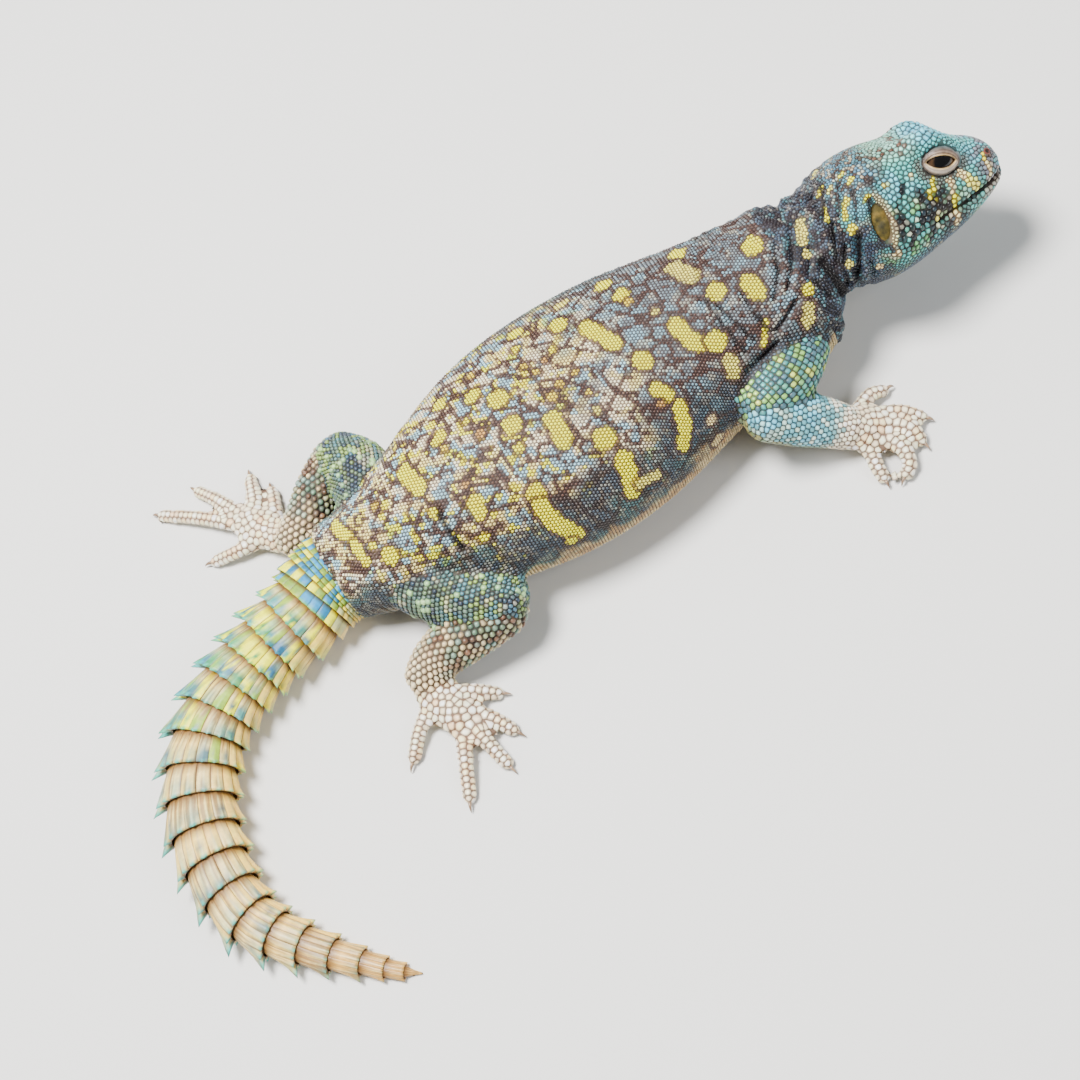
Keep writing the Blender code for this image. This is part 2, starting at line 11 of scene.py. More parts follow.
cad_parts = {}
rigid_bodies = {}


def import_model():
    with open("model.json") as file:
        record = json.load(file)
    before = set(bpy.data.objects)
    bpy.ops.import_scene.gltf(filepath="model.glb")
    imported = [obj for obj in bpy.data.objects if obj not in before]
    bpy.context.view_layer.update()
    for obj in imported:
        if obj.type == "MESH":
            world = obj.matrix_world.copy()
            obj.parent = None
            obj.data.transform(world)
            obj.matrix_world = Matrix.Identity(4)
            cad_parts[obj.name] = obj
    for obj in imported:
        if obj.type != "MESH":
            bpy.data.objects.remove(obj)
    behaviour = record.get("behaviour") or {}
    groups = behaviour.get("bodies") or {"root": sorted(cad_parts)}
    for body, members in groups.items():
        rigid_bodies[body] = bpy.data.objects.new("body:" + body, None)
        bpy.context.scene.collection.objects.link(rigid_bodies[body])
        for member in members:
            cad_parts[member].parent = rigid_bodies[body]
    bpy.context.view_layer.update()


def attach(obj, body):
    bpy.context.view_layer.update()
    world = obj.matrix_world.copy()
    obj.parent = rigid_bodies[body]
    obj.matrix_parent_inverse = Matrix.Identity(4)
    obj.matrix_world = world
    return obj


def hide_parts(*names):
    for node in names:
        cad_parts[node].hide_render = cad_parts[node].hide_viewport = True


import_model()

mm = 0.001
# the frame's origin in the working drawing, which is in millimetres
drawingShift = np.array([9.8, 2.8, 0.0])
farAway = 1e9  # longer than any distance on the model
outOfReach = 9.0  # the answer for places that an eye, ear or mouth doesn't touch
dice = np.random.default_rng(11)


def toScene(points):
    return (np.asarray(points, dtype=float) - drawingShift) * mm


# The camera stands where the photograph was taken from. Its reach is in millimetres.
view = {
    "height": 62.0,
    "roll": 33.5,
    "distance": 0.420,
    "mmPerPixel": 0.238,
    "aim": (0.0, 0.0, 0.012),
    "pixels": 1080,
    "sensor": 36.0,
    "nearest": 0.01,
    "reach": 900.0,
}

lift = math.radians(view["height"])
roll = math.radians(view["roll"])
back = Vector((0, -math.cos(lift), math.sin(lift)))
levelRight = Vector((1, 0, 0))
levelUp = Vector((0, math.sin(lift), math.cos(lift)))
cameraRight = math.cos(roll) * levelRight - math.sin(roll) * levelUp
cameraUp = math.sin(roll) * levelRight + math.cos(roll) * levelUp
cameraPlace = Vector(view["aim"]) + back * view["distance"] - Vector(drawingShift) * mm
cameraSpot = np.array(cameraPlace) / mm + drawingShift
lensPixels = view["distance"] * 1000 / view["mmPerPixel"]
cameraData = bpy.data.cameras.new("camera")
camera = bpy.data.objects.new("camera", cameraData)
bpy.context.scene.collection.objects.link(camera)
pose = Matrix((cameraRight, cameraUp, back)).transposed().to_4x4()
pose.translation = cameraPlace
camera.matrix_world = pose
cameraData.sensor_width = view["sensor"]
cameraData.lens = view["sensor"] * lensPixels / view["pixels"]
cameraData.clip_start = view["nearest"]
bpy.context.scene.camera = camera


def rayThrough(px, py):
    half = view["pixels"] / 2
    way = cameraRight * (px - half) - cameraUp * (py - half) - back * lensPixels
    return way.normalized()


# Shader maths written as expressions on sockets.
class Wire:
    def __init__(self, finish, socket):
        self.finish = finish
        self.socket = socket

    def sum(self, operation, other, swapped=False):
        pair = {0: other, 1: self} if swapped else {0: self, 1: other}
        return self.finish.node("Math", {"operation": operation}, pair)

    def __add__(self, other):
        return self.sum("ADD", other)

    def __radd__(self, other):
        return self.sum("ADD", other, True)

    def __sub__(self, other):
        return self.sum("SUBTRACT", other)

    def __rsub__(self, other):
        return self.sum("SUBTRACT", other, True)

    def __mul__(self, other):
        return self.sum("MULTIPLY", other)

    def __rmul__(self, other):
        return self.sum("MULTIPLY", other, True)


class Finish:
    def __init__(self, name, roughness=0.5, specular=0.5, coat=0.0):
        self.material = bpy.data.materials.new(name)
        self.material.use_nodes = True
        self.tree = self.material.node_tree
        self.surface = self.tree.nodes["Principled BSDF"]
        self.surface.inputs["Roughness"].default_value = roughness
        self.surface.inputs["Specular IOR Level"].default_value = specular
        self.surface.inputs["Coat Weight"].default_value = coat
        self.surface.inputs["Coat Roughness"].default_value = 0.06

    def node(self, kind, settings=None, inputs=None, out=0):
        made = self.tree.nodes.new("ShaderNode" + kind)
        for key, value in (settings or {}).items():
            if key == "stops":
                self.setStops(made.color_ramp, value)
            else:
                setattr(made, key, value)
        for key, value in (inputs or {}).items():
            self.feed(made.inputs[key], value)
        return Wire(self, made.outputs[out])

    def setStops(self, ramp, stops):
        while len(ramp.elements) < len(stops):
            ramp.elements.new(0.5)
        for element, (place, colour) in zip(ramp.elements, stops):
            element.position = place
            element.color = (*linear(colour), 1)

    def feed(self, socket, value):
        if isinstance(value, Wire):
            self.tree.links.new(value.socket, socket)
        else:
            socket.default_value = value

    def place(self):
        return self.node("TexCoord", out="Object")

    def paint(self):
        return self.node("Attribute", {"attribute_name": "paint"}, out="Color")

    def noise(self, scale, detail=3.0, roughness=0.55):
        inputs = {"Vector": self.place(), "Scale": scale, "Detail": detail, "Roughness": roughness}
        return self.node("TexNoise", {}, inputs)

    def ramp(self, value, stops):
        return self.node("ValToRGB", {"stops": stops}, {0: value})

    def multiply(self, factor, first, second):
        settings = {"data_type": "RGBA", "blend_type": "MULTIPLY"}
        return self.node("Mix", settings, {0: factor, 6: first, 7: second}, out=2)

    def bump(self, height, depth):
        made = self.node("Bump", {}, {"Strength": 1.0, "Distance": depth, "Height": height})
        self.feed(self.surface.inputs["Normal"], made)


def linear(colour):
    values = np.asarray(colour, dtype=float) / 255
    return np.where(values <= 0.04045, values / 12.92, ((values + 0.055) / 1.055) ** 2.4)


coatLook = {
    "stops": [(0.25, (205, 200, 200)), (0.75, (255, 255, 255))],
    "shade": 0.55,
    "broadSize": 0.12,
    "fineSheen": 0.25,
    "broadSheen": 0.15,
}


def coatFinish(name, roughness, specular, speck, depth):
    # The mesh's own paint, broken up by fine specks that also roughen and dent it.
    made = Finish(name, roughness, specular)
    fine = made.noise(speck)
    broad = made.noise(speck * coatLook["broadSize"], 2.0)
    shade = made.ramp(fine, coatLook["stops"])
    made.feed(made.surface.inputs["Base Color"], made.multiply(coatLook["shade"], made.paint(), shade))
    sheen = roughness + (fine - 0.5) * coatLook["fineSheen"] + (broad - 0.5) * coatLook["broadSheen"]
    made.feed(made.surface.inputs["Roughness"], sheen)
    made.bump(fine, depth)
    return made.material


# Soft steps, bumps and noise on arrays.
def rise(low, high, value):
    part = np.clip((value - low) / (high - low), 0, 1)
    return part * part * (3 - 2 * part)


def hill(value, centre, width):
    return np.exp(-(((value - centre) / width) ** 2))


def unit(vectors):
    return vectors / np.maximum(np.linalg.norm(vectors, axis=-1, keepdims=True), 1e-9)


hashFactors = {
    "x": 73856093, "y": 19349663, "z": 83492791, "seed": 2654435, "stir": 1274126177, "bits": 0xFFFFFFFF,
}


def cellNumber(cell, seed):
    # A scrambled number for each cell of a grid, the same at every run.
    mixed = cell[:, 0] * hashFactors["x"] ^ cell[:, 1] * hashFactors["y"] ^ cell[:, 2] * hashFactors["z"]
    mixed = mixed ^ seed * hashFactors["seed"]
    return (mixed ^ (mixed >> 13)) * hashFactors["stir"] & hashFactors["bits"]


def grain(points, size, seed=0):
    # Smooth noise from 0 to 1 with a given size of grain.
    cells = np.asarray(points) / size + 31.7 + seed * 7.3
    base = np.floor(cells).astype(np.int64)
    part = cells - base
    part = part * part * (3 - 2 * part)
    total = np.zeros(len(cells))
    for corner in range(8):
        offset = np.array([corner & 1, corner >> 1 & 1, corner >> 2 & 1])
        mixed = cellNumber(base + offset, seed + 5)
        value = ((mixed ^ (mixed >> 15)) & 65535) / 65535
        total += value * np.prod(np.where(offset, part, 1 - part), axis=1)
    return total


def clouds(points, size, seed=0):
    return (grain(points, size, seed) * 0.6 + grain(points, size * 0.45, seed + 1) * 0.4 - 0.5) * 1.5 + 0.5


def smooth(keys, places):
    # A smooth curve through the rows of a table, read at places counted in rows.
    table = np.array(keys, dtype=float)
    last = len(table) - 1
    slope = np.gradient(table, axis=0)
    places = np.clip(np.asarray(places, dtype=float), 0, last)
    low = np.minimum(places.astype(int), last - 1)
    t = (places - low)[:, None]
    a = 2 * t**3 - 3 * t**2 + 1
    b = t**3 - 2 * t**2 + t
    c = -2 * t**3 + 3 * t**2
    d = t**3 - t**2
    return a * table[low] + b * slope[low] + c * table[low + 1] + d * slope[low + 1]


def evenLine(keys, step):
    # The same curve cut into equal lengths of about one step.
    dense = smooth(keys, np.linspace(0, len(keys) - 1, len(keys) * 24))
    gone = lengthsAlong(dense[:, :3])
    count = max(int(round(gone[-1] / step)), 1)
    wanted = np.linspace(0, gone[-1], count + 1)
    return columnsAt(wanted, gone, dense)


def lengthsAlong(points):
    return np.concatenate([[0], np.cumsum(np.linalg.norm(np.diff(points, axis=0), axis=1))])


def columnsAt(wanted, gone, table):
    return np.stack([np.interp(wanted, gone, table[:, k]) for k in range(table.shape[1])], axis=1)


def ringLoft(mesh, rings, start=True, end=True):
    # A skin over rings of points, closed at its start and end where that is asked for.
    count = len(rings[0])
    loop = list(bmesh.ops.create_circle(mesh, cap_ends=False, radius=1.0, segments=count)["verts"])
    for vertex, point in zip(loop, rings[0]):
        vertex.co = Vector(point)
    rows = [loop]
    edges = [mesh.edges.get((loop[i], loop[(i + 1) % count])) for i in range(count)]
    if start:
        bmesh.ops.edgeloop_fill(mesh, edges=edges)
    for ring in rings[1:]:
        made = bmesh.ops.extrude_edge_only(mesh, edges=edges)["geom"]
        fresh = {v for v in made if isinstance(v, bmesh.types.BMVert)}
        following = []
        for vertex, point in zip(loop, ring):
            found = [e.other_vert(vertex) for e in vertex.link_edges if e.other_vert(vertex) in fresh][0]
            found.co = Vector(point)
            following.append(found)
        loop = following
        rows.append(loop)
        edges = [mesh.edges.get((loop[i], loop[(i + 1) % count])) for i in range(count)]
    if end:
        bmesh.ops.edgeloop_fill(mesh, edges=edges)
    return rows


def objectFrom(mesh, name, material):
    bmesh.ops.recalc_face_normals(mesh, faces=mesh.faces[:])
    data = bpy.data.meshes.new(name)
    mesh.to_mesh(data)
    mesh.free()
    return linkObject(data, name, material)


def ringObject(name, rings, paint, material, end):
    # A skin over rings, open at its start, with a colour for every point of every ring.
    mesh = bmesh.new()
    rows = ringLoft(mesh, [toScene(ring) for ring in rings], False, end)
    mesh.verts.index_update()
    order = [vertex.index for row in rows for vertex in row]
    full = np.zeros((len(order), 3))
    full[order] = paint
    made = objectFrom(mesh, name, material)
    setPaint(made.data, full)
    return made


def linkObject(data, name, material):
    data.polygons.foreach_set("use_smooth", [True] * len(data.polygons))
    data.materials.append(material)
    made = bpy.data.objects.new(name, data)
    bpy.context.scene.collection.objects.link(made)
    return made


def meshFromArrays(name, points, faces, paint, patch, material):
    # Many small forms joined in one mesh. The faces all have the same number of corners.
    data = bpy.data.meshes.new(name)
    corners = faces.shape[1]
    data.vertices.add(len(points))
    data.vertices.foreach_set("co", toScene(points).ravel())
    data.loops.add(faces.size)
    data.polygons.add(len(faces))
    data.polygons.foreach_set("loop_start", np.arange(0, faces.size, corners))
    data.polygons.foreach_set("loop_total", np.full(len(faces), corners))
    data.loops.foreach_set("vertex_index", faces.ravel())
    data.update(calc_edges=True)
    setPaint(data, paint)
    layer = data.uv_layers.new(name="OFBake")
    layer.data.foreach_set("uv", patch[faces.ravel()].ravel())
    return linkObject(data, name, material)


vividness = {"grey": (0.3, 0.59, 0.11), "hue": 1.25, "hueInLight": 0.4, "contrast": 1.22, "light": 1.06}


def vivid(paint):
    # Horn and skin in life: deeper darks and stronger hues than the plain tones.
    part = np.clip(paint, 0, 255) / 255
    grey = part @ np.array(vividness["grey"])
    strength = vividness["hue"] + vividness["hueInLight"] * grey[:, None]
    part = grey[:, None] + (part - grey[:, None]) * strength
    return np.clip(part, 0, 1) ** vividness["contrast"] * vividness["light"] * 255


def setPaint(data, paint):
    layer = data.color_attributes.new("paint", "FLOAT_COLOR", "POINT")
    full = np.ones((len(paint), 4))
    full[:, :3] = linear(np.clip(vivid(paint), 0, 255))
    layer.data.foreach_set("color", full.ravel())


def readMesh(mesh):
    points = np.array([v.co[:] for v in mesh.verts])
    faces = [[v.index for v in face.verts] for face in mesh.faces]
    return points, faces


print("camera and helpers ready")

# The lines that the body follows, in millimetres.
trunkLine = [
    (-46, 24.7, 10.5), (-39, 23, 12.5), (-31, 20.8, 14.5), (-21, 19.8, 16), (-8, 19, 17), (8, 19, 17.5),
    (24, 19.2, 17.5), (40, 19.6, 17.5), (54, 19, 18), (66, 17.6, 18.8), (76, 16.6, 20), (84, 16.6, 21.5),
]
headPlace = {"centre": (106.0, 16.2, 27.0), "turn": (-44.0, -2.0, -12.0)}
headTurn = Euler([math.radians(value) for value in headPlace["turn"]], "XYZ").to_matrix()
headAxes = np.array(headTurn)
headCentre = np.array(headPlace["centre"])


def fromHead(local):
    return np.asarray(local, dtype=float) @ headAxes.T + headCentre


def toHead(points):
    return (np.asarray(points, dtype=float) - headCentre) @ headAxes


neckLine = [tuple(trunkLine[-1]), (91, 16.5, 23.5), tuple(fromHead((-7, 0, 0)))]
headLine = [tuple(fromHead((-7, 0, 0))), tuple(fromHead((12, 0, 0))), tuple(fromHead((31, 0, 0)))]

# x, y, z and radius down each leg.
legLines = {
    "upper_arm_r": [(79, 5, 19, 8.0), (72, -1.5, 19.5, 8.0), (66, -5, 20, 7.4), (60, -6.5, 20, 6.2)],
    "forearm_r": [
        (60.0, -8.2, 18, 6.9), (66, -11.6, 13.6, 6.9), (71.5, -14.8, 9.4, 6.2), (74.6, -17.0, 6.8, 5.6),
    ],
    "upper_arm_l": [(78, 27, 18, 8.0), (71, 33, 15.5, 7.6), (64, 36, 12.5, 6.8), (60, 37, 10.5, 6.0)],
    "forearm_l": [(60.5, 37.5, 9.0, 6.0), (66, 39, 7.6, 5.8), (72, 39.5, 6.4, 5.0), (77, 39.5, 5.4, 4.6)],
    "thigh_r": [(-31, 14, 14, 9.6), (-27, 5, 14.5, 9.2), (-20, -4, 14.5, 8.4), (-14, -9.5, 14, 7.0)],
    "shin_r": [
        (-16, -10, 12.5, 6.8), (-26.6, -9.2, 10.5, 6.9), (-35.6, -9.0, 8.0, 5.9), (-41.5, -10.5, 6.0, 4.8),
    ],
    "thigh_l": [(-29, 26, 14, 9.6), (-28, 36, 14.5, 9.2), (-28.5, 44, 14.5, 8.4), (-30.5, 50.0, 14, 7.0)],
    "shin_l": [(-31.5, 50.0, 12.5, 6.8), (-39, 47, 10, 6.8), (-46, 43.4, 8, 6.0), (-52, 41.8, 6, 5.2)],
}
# The palm or sole as x, y, z and radius, then each digit's middle line from root to claw.
footSink = 0.6
feet = {
    "hand_r": {
        "palm": [(75.6, -17.6, 5.6, 5.4), (78.8, -18.4, 5.0, 6.0), (81.4, -19.6, 4.4, 4.9)],
        "thick": 2.2,
        "claw": 1.6,
        "digits": [
            [(79.4, -14.4, 4.4), (84.6, -12.0, 3.8), (88.6, -12.2, 2.2)],
            [(83.2, -17.4, 4.4), (88.2, -20.2, 3.9), (91.6, -23.8, 2.2)],
            [(83.4, -20.6, 4.4), (87.2, -25.0, 4.2), (87.8, -28.8, 2.2)],
            [(80.6, -22.4, 4.2), (82.8, -28.6, 4.2), (82.0, -32.4, 3.0), (80.0, -33.6, 2.0)],
            [(77.0, -21.8, 4.2), (75.8, -27.2, 3.6), (75.4, -31.2, 2.0)],
        ],
    },
    "hand_l": {
        "palm": [(78, 39.5, 4.8, 4.8), (82, 39.3, 4.2, 5.8), (86, 39.0, 3.8, 5.0)],
        "thick": 2.2,
        "claw": 1.6,
        "digits": [
            [(81, 36.4, 4.0), (85, 33.8, 3.4), (88.4, 31.6, 1.8)],
            [(86, 37.2, 4.0), (90.5, 35.2, 3.4), (94.6, 33.4, 1.8)],
            [(87, 39.0, 4.0), (92.4, 38.6, 3.6), (97.6, 37.8, 1.8)],
            [(86, 40.6, 4.0), (91.2, 41.6, 3.4), (96.0, 42.0, 1.8)],
            [(82.5, 41.6, 3.8), (86.0, 43.6, 3.2), (89.6, 44.6, 1.7)],
        ],
    },
    "foot_r": {
        "palm": [(-41, -12.5, 5.0, 4.8), (-40, -18, 4.2, 5.4), (-38.4, -23.4, 3.8, 5.2)],
        "thick": 2.2,
        "claw": 2.0,
        "digits": [
            [(-36.0, -17.5, 4.0), (-32.0, -19.8, 3.2), (-28.2, -22.6, 1.8)],
            [(-35.2, -24.0, 4.0), (-32.2, -28.0, 3.4), (-29.6, -32.8, 1.8)],
            [(-37.2, -26.0, 4.0), (-36.4, -32.0, 3.6), (-35.0, -39.0, 1.8)],
            [(-39.8, -26.0, 4.0), (-43.0, -33.2, 3.6), (-46.8, -41.0, 1.8)],
            [(-42.6, -16.0, 4.0), (-48.4, -19.8, 3.4), (-53.6, -24.8, 1.8)],
        ],
    },
    "foot_l": {
        "palm": [(-54, 45.5, 4.8, 4.6), (-57, 51, 4.2, 5.2), (-60, 56, 3.8, 5.0)],
        "thick": 2.2,
        "claw": 2.0,
        "digits": [
            [(-53.6, 51.0, 4.0), (-52.0, 56.4, 3.2), (-51.0, 61.2, 1.8)],
            [(-56.8, 57.0, 4.0), (-55.4, 62.8, 3.4), (-54.2, 68.2, 1.8)],
            [(-60.4, 58.6, 4.0), (-64.0, 66.4, 3.6), (-68.0, 74.0, 1.8)],
            [(-63.0, 57.4, 4.0), (-70.8, 65.6, 3.6), (-79.4, 73.8, 1.8)],
            [(-60.6, 49.2, 4.0), (-66.4, 50.4, 3.6), (-72.8, 52.6, 1.8)],
        ],
    },
}
# Whorls of the tail: x and y of the front edge, half width.
whorls = [
    (-46.3, 24.6, 12.2), (-51.6, 23.6, 11.8), (-56.8, 21.8, 11.4), (-62.6, 20.4, 10.8),
    (-69.2, 19.2, 10.3), (-75.4, 17.4, 10.2), (-81.8, 15.0, 10.1), (-88.2, 11.6, 9.9), (-93.8, 7.2, 9.6),
    (-98.4, 1.2, 9.4), (-102.0, -5.6, 9.1), (-104.4, -13.2, 8.8), (-105.5, -21.2, 8.3),
    (-105.5, -29.4, 7.6), (-104.0, -37.2, 6.8), (-100.7, -43.6, 5.9), (-96.3, -49.3, 4.9),
    (-91.4, -55.0, 4.0), (-86.4, -60.1, 3.1), (-82.4, -64.2, 2.4), (-79.0, -67.2, 1.7),
    (-76.0, -69.4, 0.7),
]


def roundPower(value, power):
    return np.sign(value) * np.abs(value) ** power


def wholeTurn(count):
    return np.arange(count) / count * 2 * math.pi


def lineFrames(line):
    # For each point of a line: the way ahead, to the side and up.
    ahead = unit(np.gradient(line[:, :3], axis=0))
    side = unit(np.cross(np.array([0.0, 0.0, 1.0]), ahead))
    up = np.cross(ahead, side)
    return ahead, side, up


def tubeRings(keys, plan):
    # Rings round a limb's line, with rounded ends.
    line = evenLine(keys, plan["step"])
    ahead, side, up = lineFrames(line)
    last = len(line) - 1
    ends = ((0.92, plan["dull"]), (0.7, 0.7), (0.38, 0.92))
    stations = [
        (line[0, :3] - ahead[0] * part * line[0, 3] * 0.8, line[0, 3] * share, 0)
        for part, share in ends
    ]
    stations += [(line[k, :3], line[k, 3], k) for k in range(len(line))]
    for part, share in ends[::-1]:
        stations.append((line[-1, :3] + ahead[-1] * part * line[-1, 3] * 0.8, line[-1, 3] * share, last))
    turns = wholeTurn(plan["sides"])
    rings = []
    for centre, radius, k in stations:
        out = -side[k] * np.cos(turns)[:, None] + up[k] * np.sin(turns)[:, None] * plan["flat"]
        rings.append(centre + out * radius)
    return rings


tail = {
    "core": 0.86,
    "rootGain": 0.1,
    "rise": 0.76,
    "sides": 30,
    "rings": 70,
    "rootWay": (1.0, -0.03),
    "round": 0.95,
    "roundBelow": 0.85,
    "floorGap": 0.02,
}


def tailPlace(place, turn, grow=1.0, outward=0.0, backward=0.0):
    # A point on the tail: place counts whorls, turn goes round from the right side over the back.
    place = np.atleast_1d(np.asarray(place, dtype=float))
    row = smooth(whorls, place)
    low = smooth(whorls, place - 0.1)
    high = smooth(whorls, place + 0.1)
    ahead = np.zeros((len(place), 3))
    ahead[:, :2] = low[:, :2] - high[:, :2]
    ahead[place <= 0] = (*tail["rootWay"], 0)
    ahead = unit(ahead)
    side = np.cross(np.array([0.0, 0.0, 1.0]), ahead)
    half = row[:, 2]
    height = half * tail["rise"]
    across = half * grow * roundPower(np.cos(turn), tail["round"])
    above = height * grow * roundPower(np.sin(turn), tail["round"])
    below = (height + 0.3) * roundPower(np.sin(turn), tail["roundBelow"])
    up = np.where(np.sin(turn) > 0, above, below)
    reach = np.maximum(np.hypot(across, up), 0.2)
    scale = 1 + outward / reach
    centre = np.stack([row[:, 0], row[:, 1], height], axis=1)
    back = ahead * np.broadcast_to(backward, across.shape)[:, None]
    point = centre - side * (across * scale)[:, None] - back
    point[:, 2] += up * scale
    point[:, 2] = np.maximum(point[:, 2], tail["floorGap"])
    return point


# The skin is one surface under every scale.
skinSize = {"voxel": 0.85, "swell": 0.32, "coat": 0.26, "smoothing": 5}
tubePlans = {
    "leg": {"sides": 20, "flat": 0.94, "dull": 0.35, "step": 1.2},
    "palm": {"sides": 18, "flat": 0.72, "dull": 0.35, "step": 1.2},
    "digit": {"sides": 12, "flat": 0.95, "dull": 0.4, "step": 0.8, "taper": 0.14},
}
fleshNodes = ["head", "neck", "torso"] + list(legLines) + list(feet) + ["tail_%d" % n for n in range(1, 6)]


def nodeCopy(name):
    # A copy of a solid's mesh, merged and swollen a little.
    piece = bmesh.new()
    piece.from_mesh(bpy.data.objects[name].data)
    bmesh.ops.remove_doubles(piece, verts=piece.verts[:], dist=2e-6)
    piece.normal_update()
    for vertex in piece.verts:
        vertex.co += vertex.normal * skinSize["swell"] * mm
    return piece


def ringCopy(rings):
    # A closed tube over rings, swollen by as much.
    piece = bmesh.new()
    grown = []
    for ring in rings:
        out = ring - ring.mean(axis=0)
        grown.append(toScene(ring + unit(out) * skinSize["swell"]))
    ringLoft(piece, grown)
    bmesh.ops.recalc_face_normals(piece, faces=piece.faces[:])
    return piece


def limbRings():
    drawn = [tubeRings(keys, tubePlans["leg"]) for keys in legLines.values()]
    for foot in feet.values():
        sole = [(x, y, z - footSink, r) for x, y, z, r in foot["palm"]]
        drawn.append(tubeRings(sole, tubePlans["palm"]))
        for path in foot["digits"]:
            keys = []
            for k, (x, y, z) in enumerate(path):
                share = k / (len(path) - 1)
                radius = foot["thick"] * (1.0 - tubePlans["digit"]["taper"] * share)
                keys.append((x, y, z - footSink, radius))
            drawn.append(tubeRings(keys, tubePlans["digit"]))
    return drawn


def tailRings():
    turns = wholeTurn(tail["sides"])
    rings = []
    for place in np.linspace(-0.4, len(whorls) - 1.3, tail["rings"]):
        core = tail["core"] + tail["rootGain"] * float(rise(2.2, 0.2, place))
        ring = tailPlace(np.full(tail["sides"], max(place, 0.0)), turns, core)
        rings.append(ring + [max(-place, 0) * 6, 0, 0])
    return rings


def buildFlesh():
    # Every part swollen, joined by voxels and smoothed into one skin.
    mesh = bmesh.new()
    pieces = [nodeCopy(name) for name in ("head", "neck", "torso")]
    pieces += [ringCopy(rings) for rings in [*limbRings(), tailRings()]]
    for piece in pieces:
        data = bpy.data.meshes.new("piece")
        piece.to_mesh(data)
        piece.free()
        mesh.from_mesh(data)
        bpy.data.meshes.remove(data)
    bmesh.ops.triangulate(mesh, faces=mesh.faces[:])
    data = bpy.data.meshes.new("flesh")
    mesh.to_mesh(data)
    mesh.free()
    made = bpy.data.objects.new("flesh", data)
    bpy.context.scene.collection.objects.link(made)
    remesh = made.modifiers.new("voxels", "REMESH")
    remesh.mode = "VOXEL"
    remesh.voxel_size = skinSize["voxel"] * mm
    soften = made.modifiers.new("soften", "SMOOTH")
    soften.factor = 0.5
    soften.iterations = skinSize["smoothing"]
    graph = bpy.context.evaluated_depsgraph_get()
    whole = bpy.data.meshes.new_from_object(made.evaluated_get(graph))
    bpy.data.objects.remove(made, do_unlink=True)
    return whole


def meshArrays(data):
    points = np.empty(len(data.vertices) * 3)
    data.vertices.foreach_get("co", points)
    points = points.reshape(-1, 3) / mm + drawingShift
    data.calc_loop_triangles()
    triangles = np.empty(len(data.loop_triangles) * 3, dtype=np.int32)
    data.loop_triangles.foreach_get("vertices", triangles)
    return points, triangles.reshape(-1, 3)


def vertexNormals(points, triangles):
    a, b, c = (points[triangles[:, k]] for k in range(3))
    flat = np.cross(b - a, c - a)
    normals = np.zeros_like(points)
    for k in range(3):
        for axis in range(3):
            normals[:, axis] += np.bincount(triangles[:, k], flat[:, axis], len(points))
    return unit(normals)


skinData = buildFlesh()
skinPoints, skinTriangles = meshArrays(skinData)
skinNormals = vertexNormals(skinPoints, skinTriangles)
skinPoints = skinPoints - skinNormals * (skinSize["swell"] + skinSize["coat"])
skinTree = BVHTree.FromPolygons(skinPoints.tolist(), skinTriangles.tolist())
print("skin has", len(skinPoints), "points and", len(skinTriangles), "triangles")

# Which part of the body a place belongs to.
partNames = ["head", "neck", "torso", "tail"] + list(legLines) + list(feet)
partOf = {name: k for k, name in enumerate(partNames)}


def buildFinder():
    points = []
    triangles = []
    owners = []
    start = 0
    for name in fleshNodes:
        data = bpy.data.objects[name].data
        some, corners = meshArrays(data)
        points.append(some)
        triangles.append(corners + start)
        owner = partOf["tail"] if name.startswith("tail") else partOf[name]
        owners += [owner] * len(corners)
        start += len(some)
    tree = BVHTree.FromPolygons(np.concatenate(points).tolist(), np.concatenate(triangles).tolist())
    return tree, np.array(owners)


partTree, partOwners = buildFinder()


def partsAt(points):
    return np.array([partOwners[partTree.find_nearest(p)[2]] for p in points.tolist()])


partLines = {
    "torso": [trunkLine], "neck": [neckLine], "head": [headLine],
    "tail": [[(x, y, h * tail["rise"]) for x, y, h in whorls]]
}
for name, keys in legLines.items():
    partLines[name] = [[row[:3] for row in keys]]
for name, foot in feet.items():
    partLines[name] = [[row[:3] for row in foot["palm"]]] + foot["digits"]
rearward = {"torso": -1, "neck": -1, "head": -1}


def readLines(points, parts):
    # For each place: the way to the rear or the limb's end, how far along its part it is, its turn
    # round it, and which of the part's lines it belongs to.
    points = np.asarray(points)
    way = np.zeros_like(points)
    along = np.zeros(len(points))
    turn = np.zeros(len(points))
    which = np.zeros(len(points), dtype=int)
    for name, lines in partLines.items():
        mine = np.nonzero(parts == partOf[name])[0]
        if not len(mine):
            continue
        best = np.full(len(mine), farAway)
        for number, keys in enumerate(lines):
            line = evenLine(keys, 2.0)
            steps = np.diff(line, axis=0)
            lengths = np.linalg.norm(steps, axis=1)
            ways = steps / lengths[:, None]
            for k in range(len(steps)):
                offset = points[mine] - line[k]
                free = (offset * ways[k]).sum(axis=1)
                part = np.clip(free, 0, lengths[k])
                if k == 0 and number == 0:
                    part = np.minimum(free, lengths[k])
                if k == len(steps) - 1:
                    part = np.maximum(free, 0)
                gone = offset - part[:, None] * ways[k]
                distance = np.linalg.norm(gone, axis=1)
                closer = distance < best
                best = np.where(closer, distance, best)
                picked = mine[closer]
                side = unit(np.cross([0.0, 0.0, 1.0], ways[k]))
                up = np.cross(ways[k], side)
                way[picked] = ways[k] * rearward.get(name, 1)
                along[picked] = (lengths[:k].sum() + part[closer]) / lengths.sum()
                turn[picked] = np.arctan2(gone[closer] @ up, -(gone[closer] @ side))
                which[picked] = number
    return way, along, turn, which


skinParts = partsAt(skinPoints)
print("skin parts known")

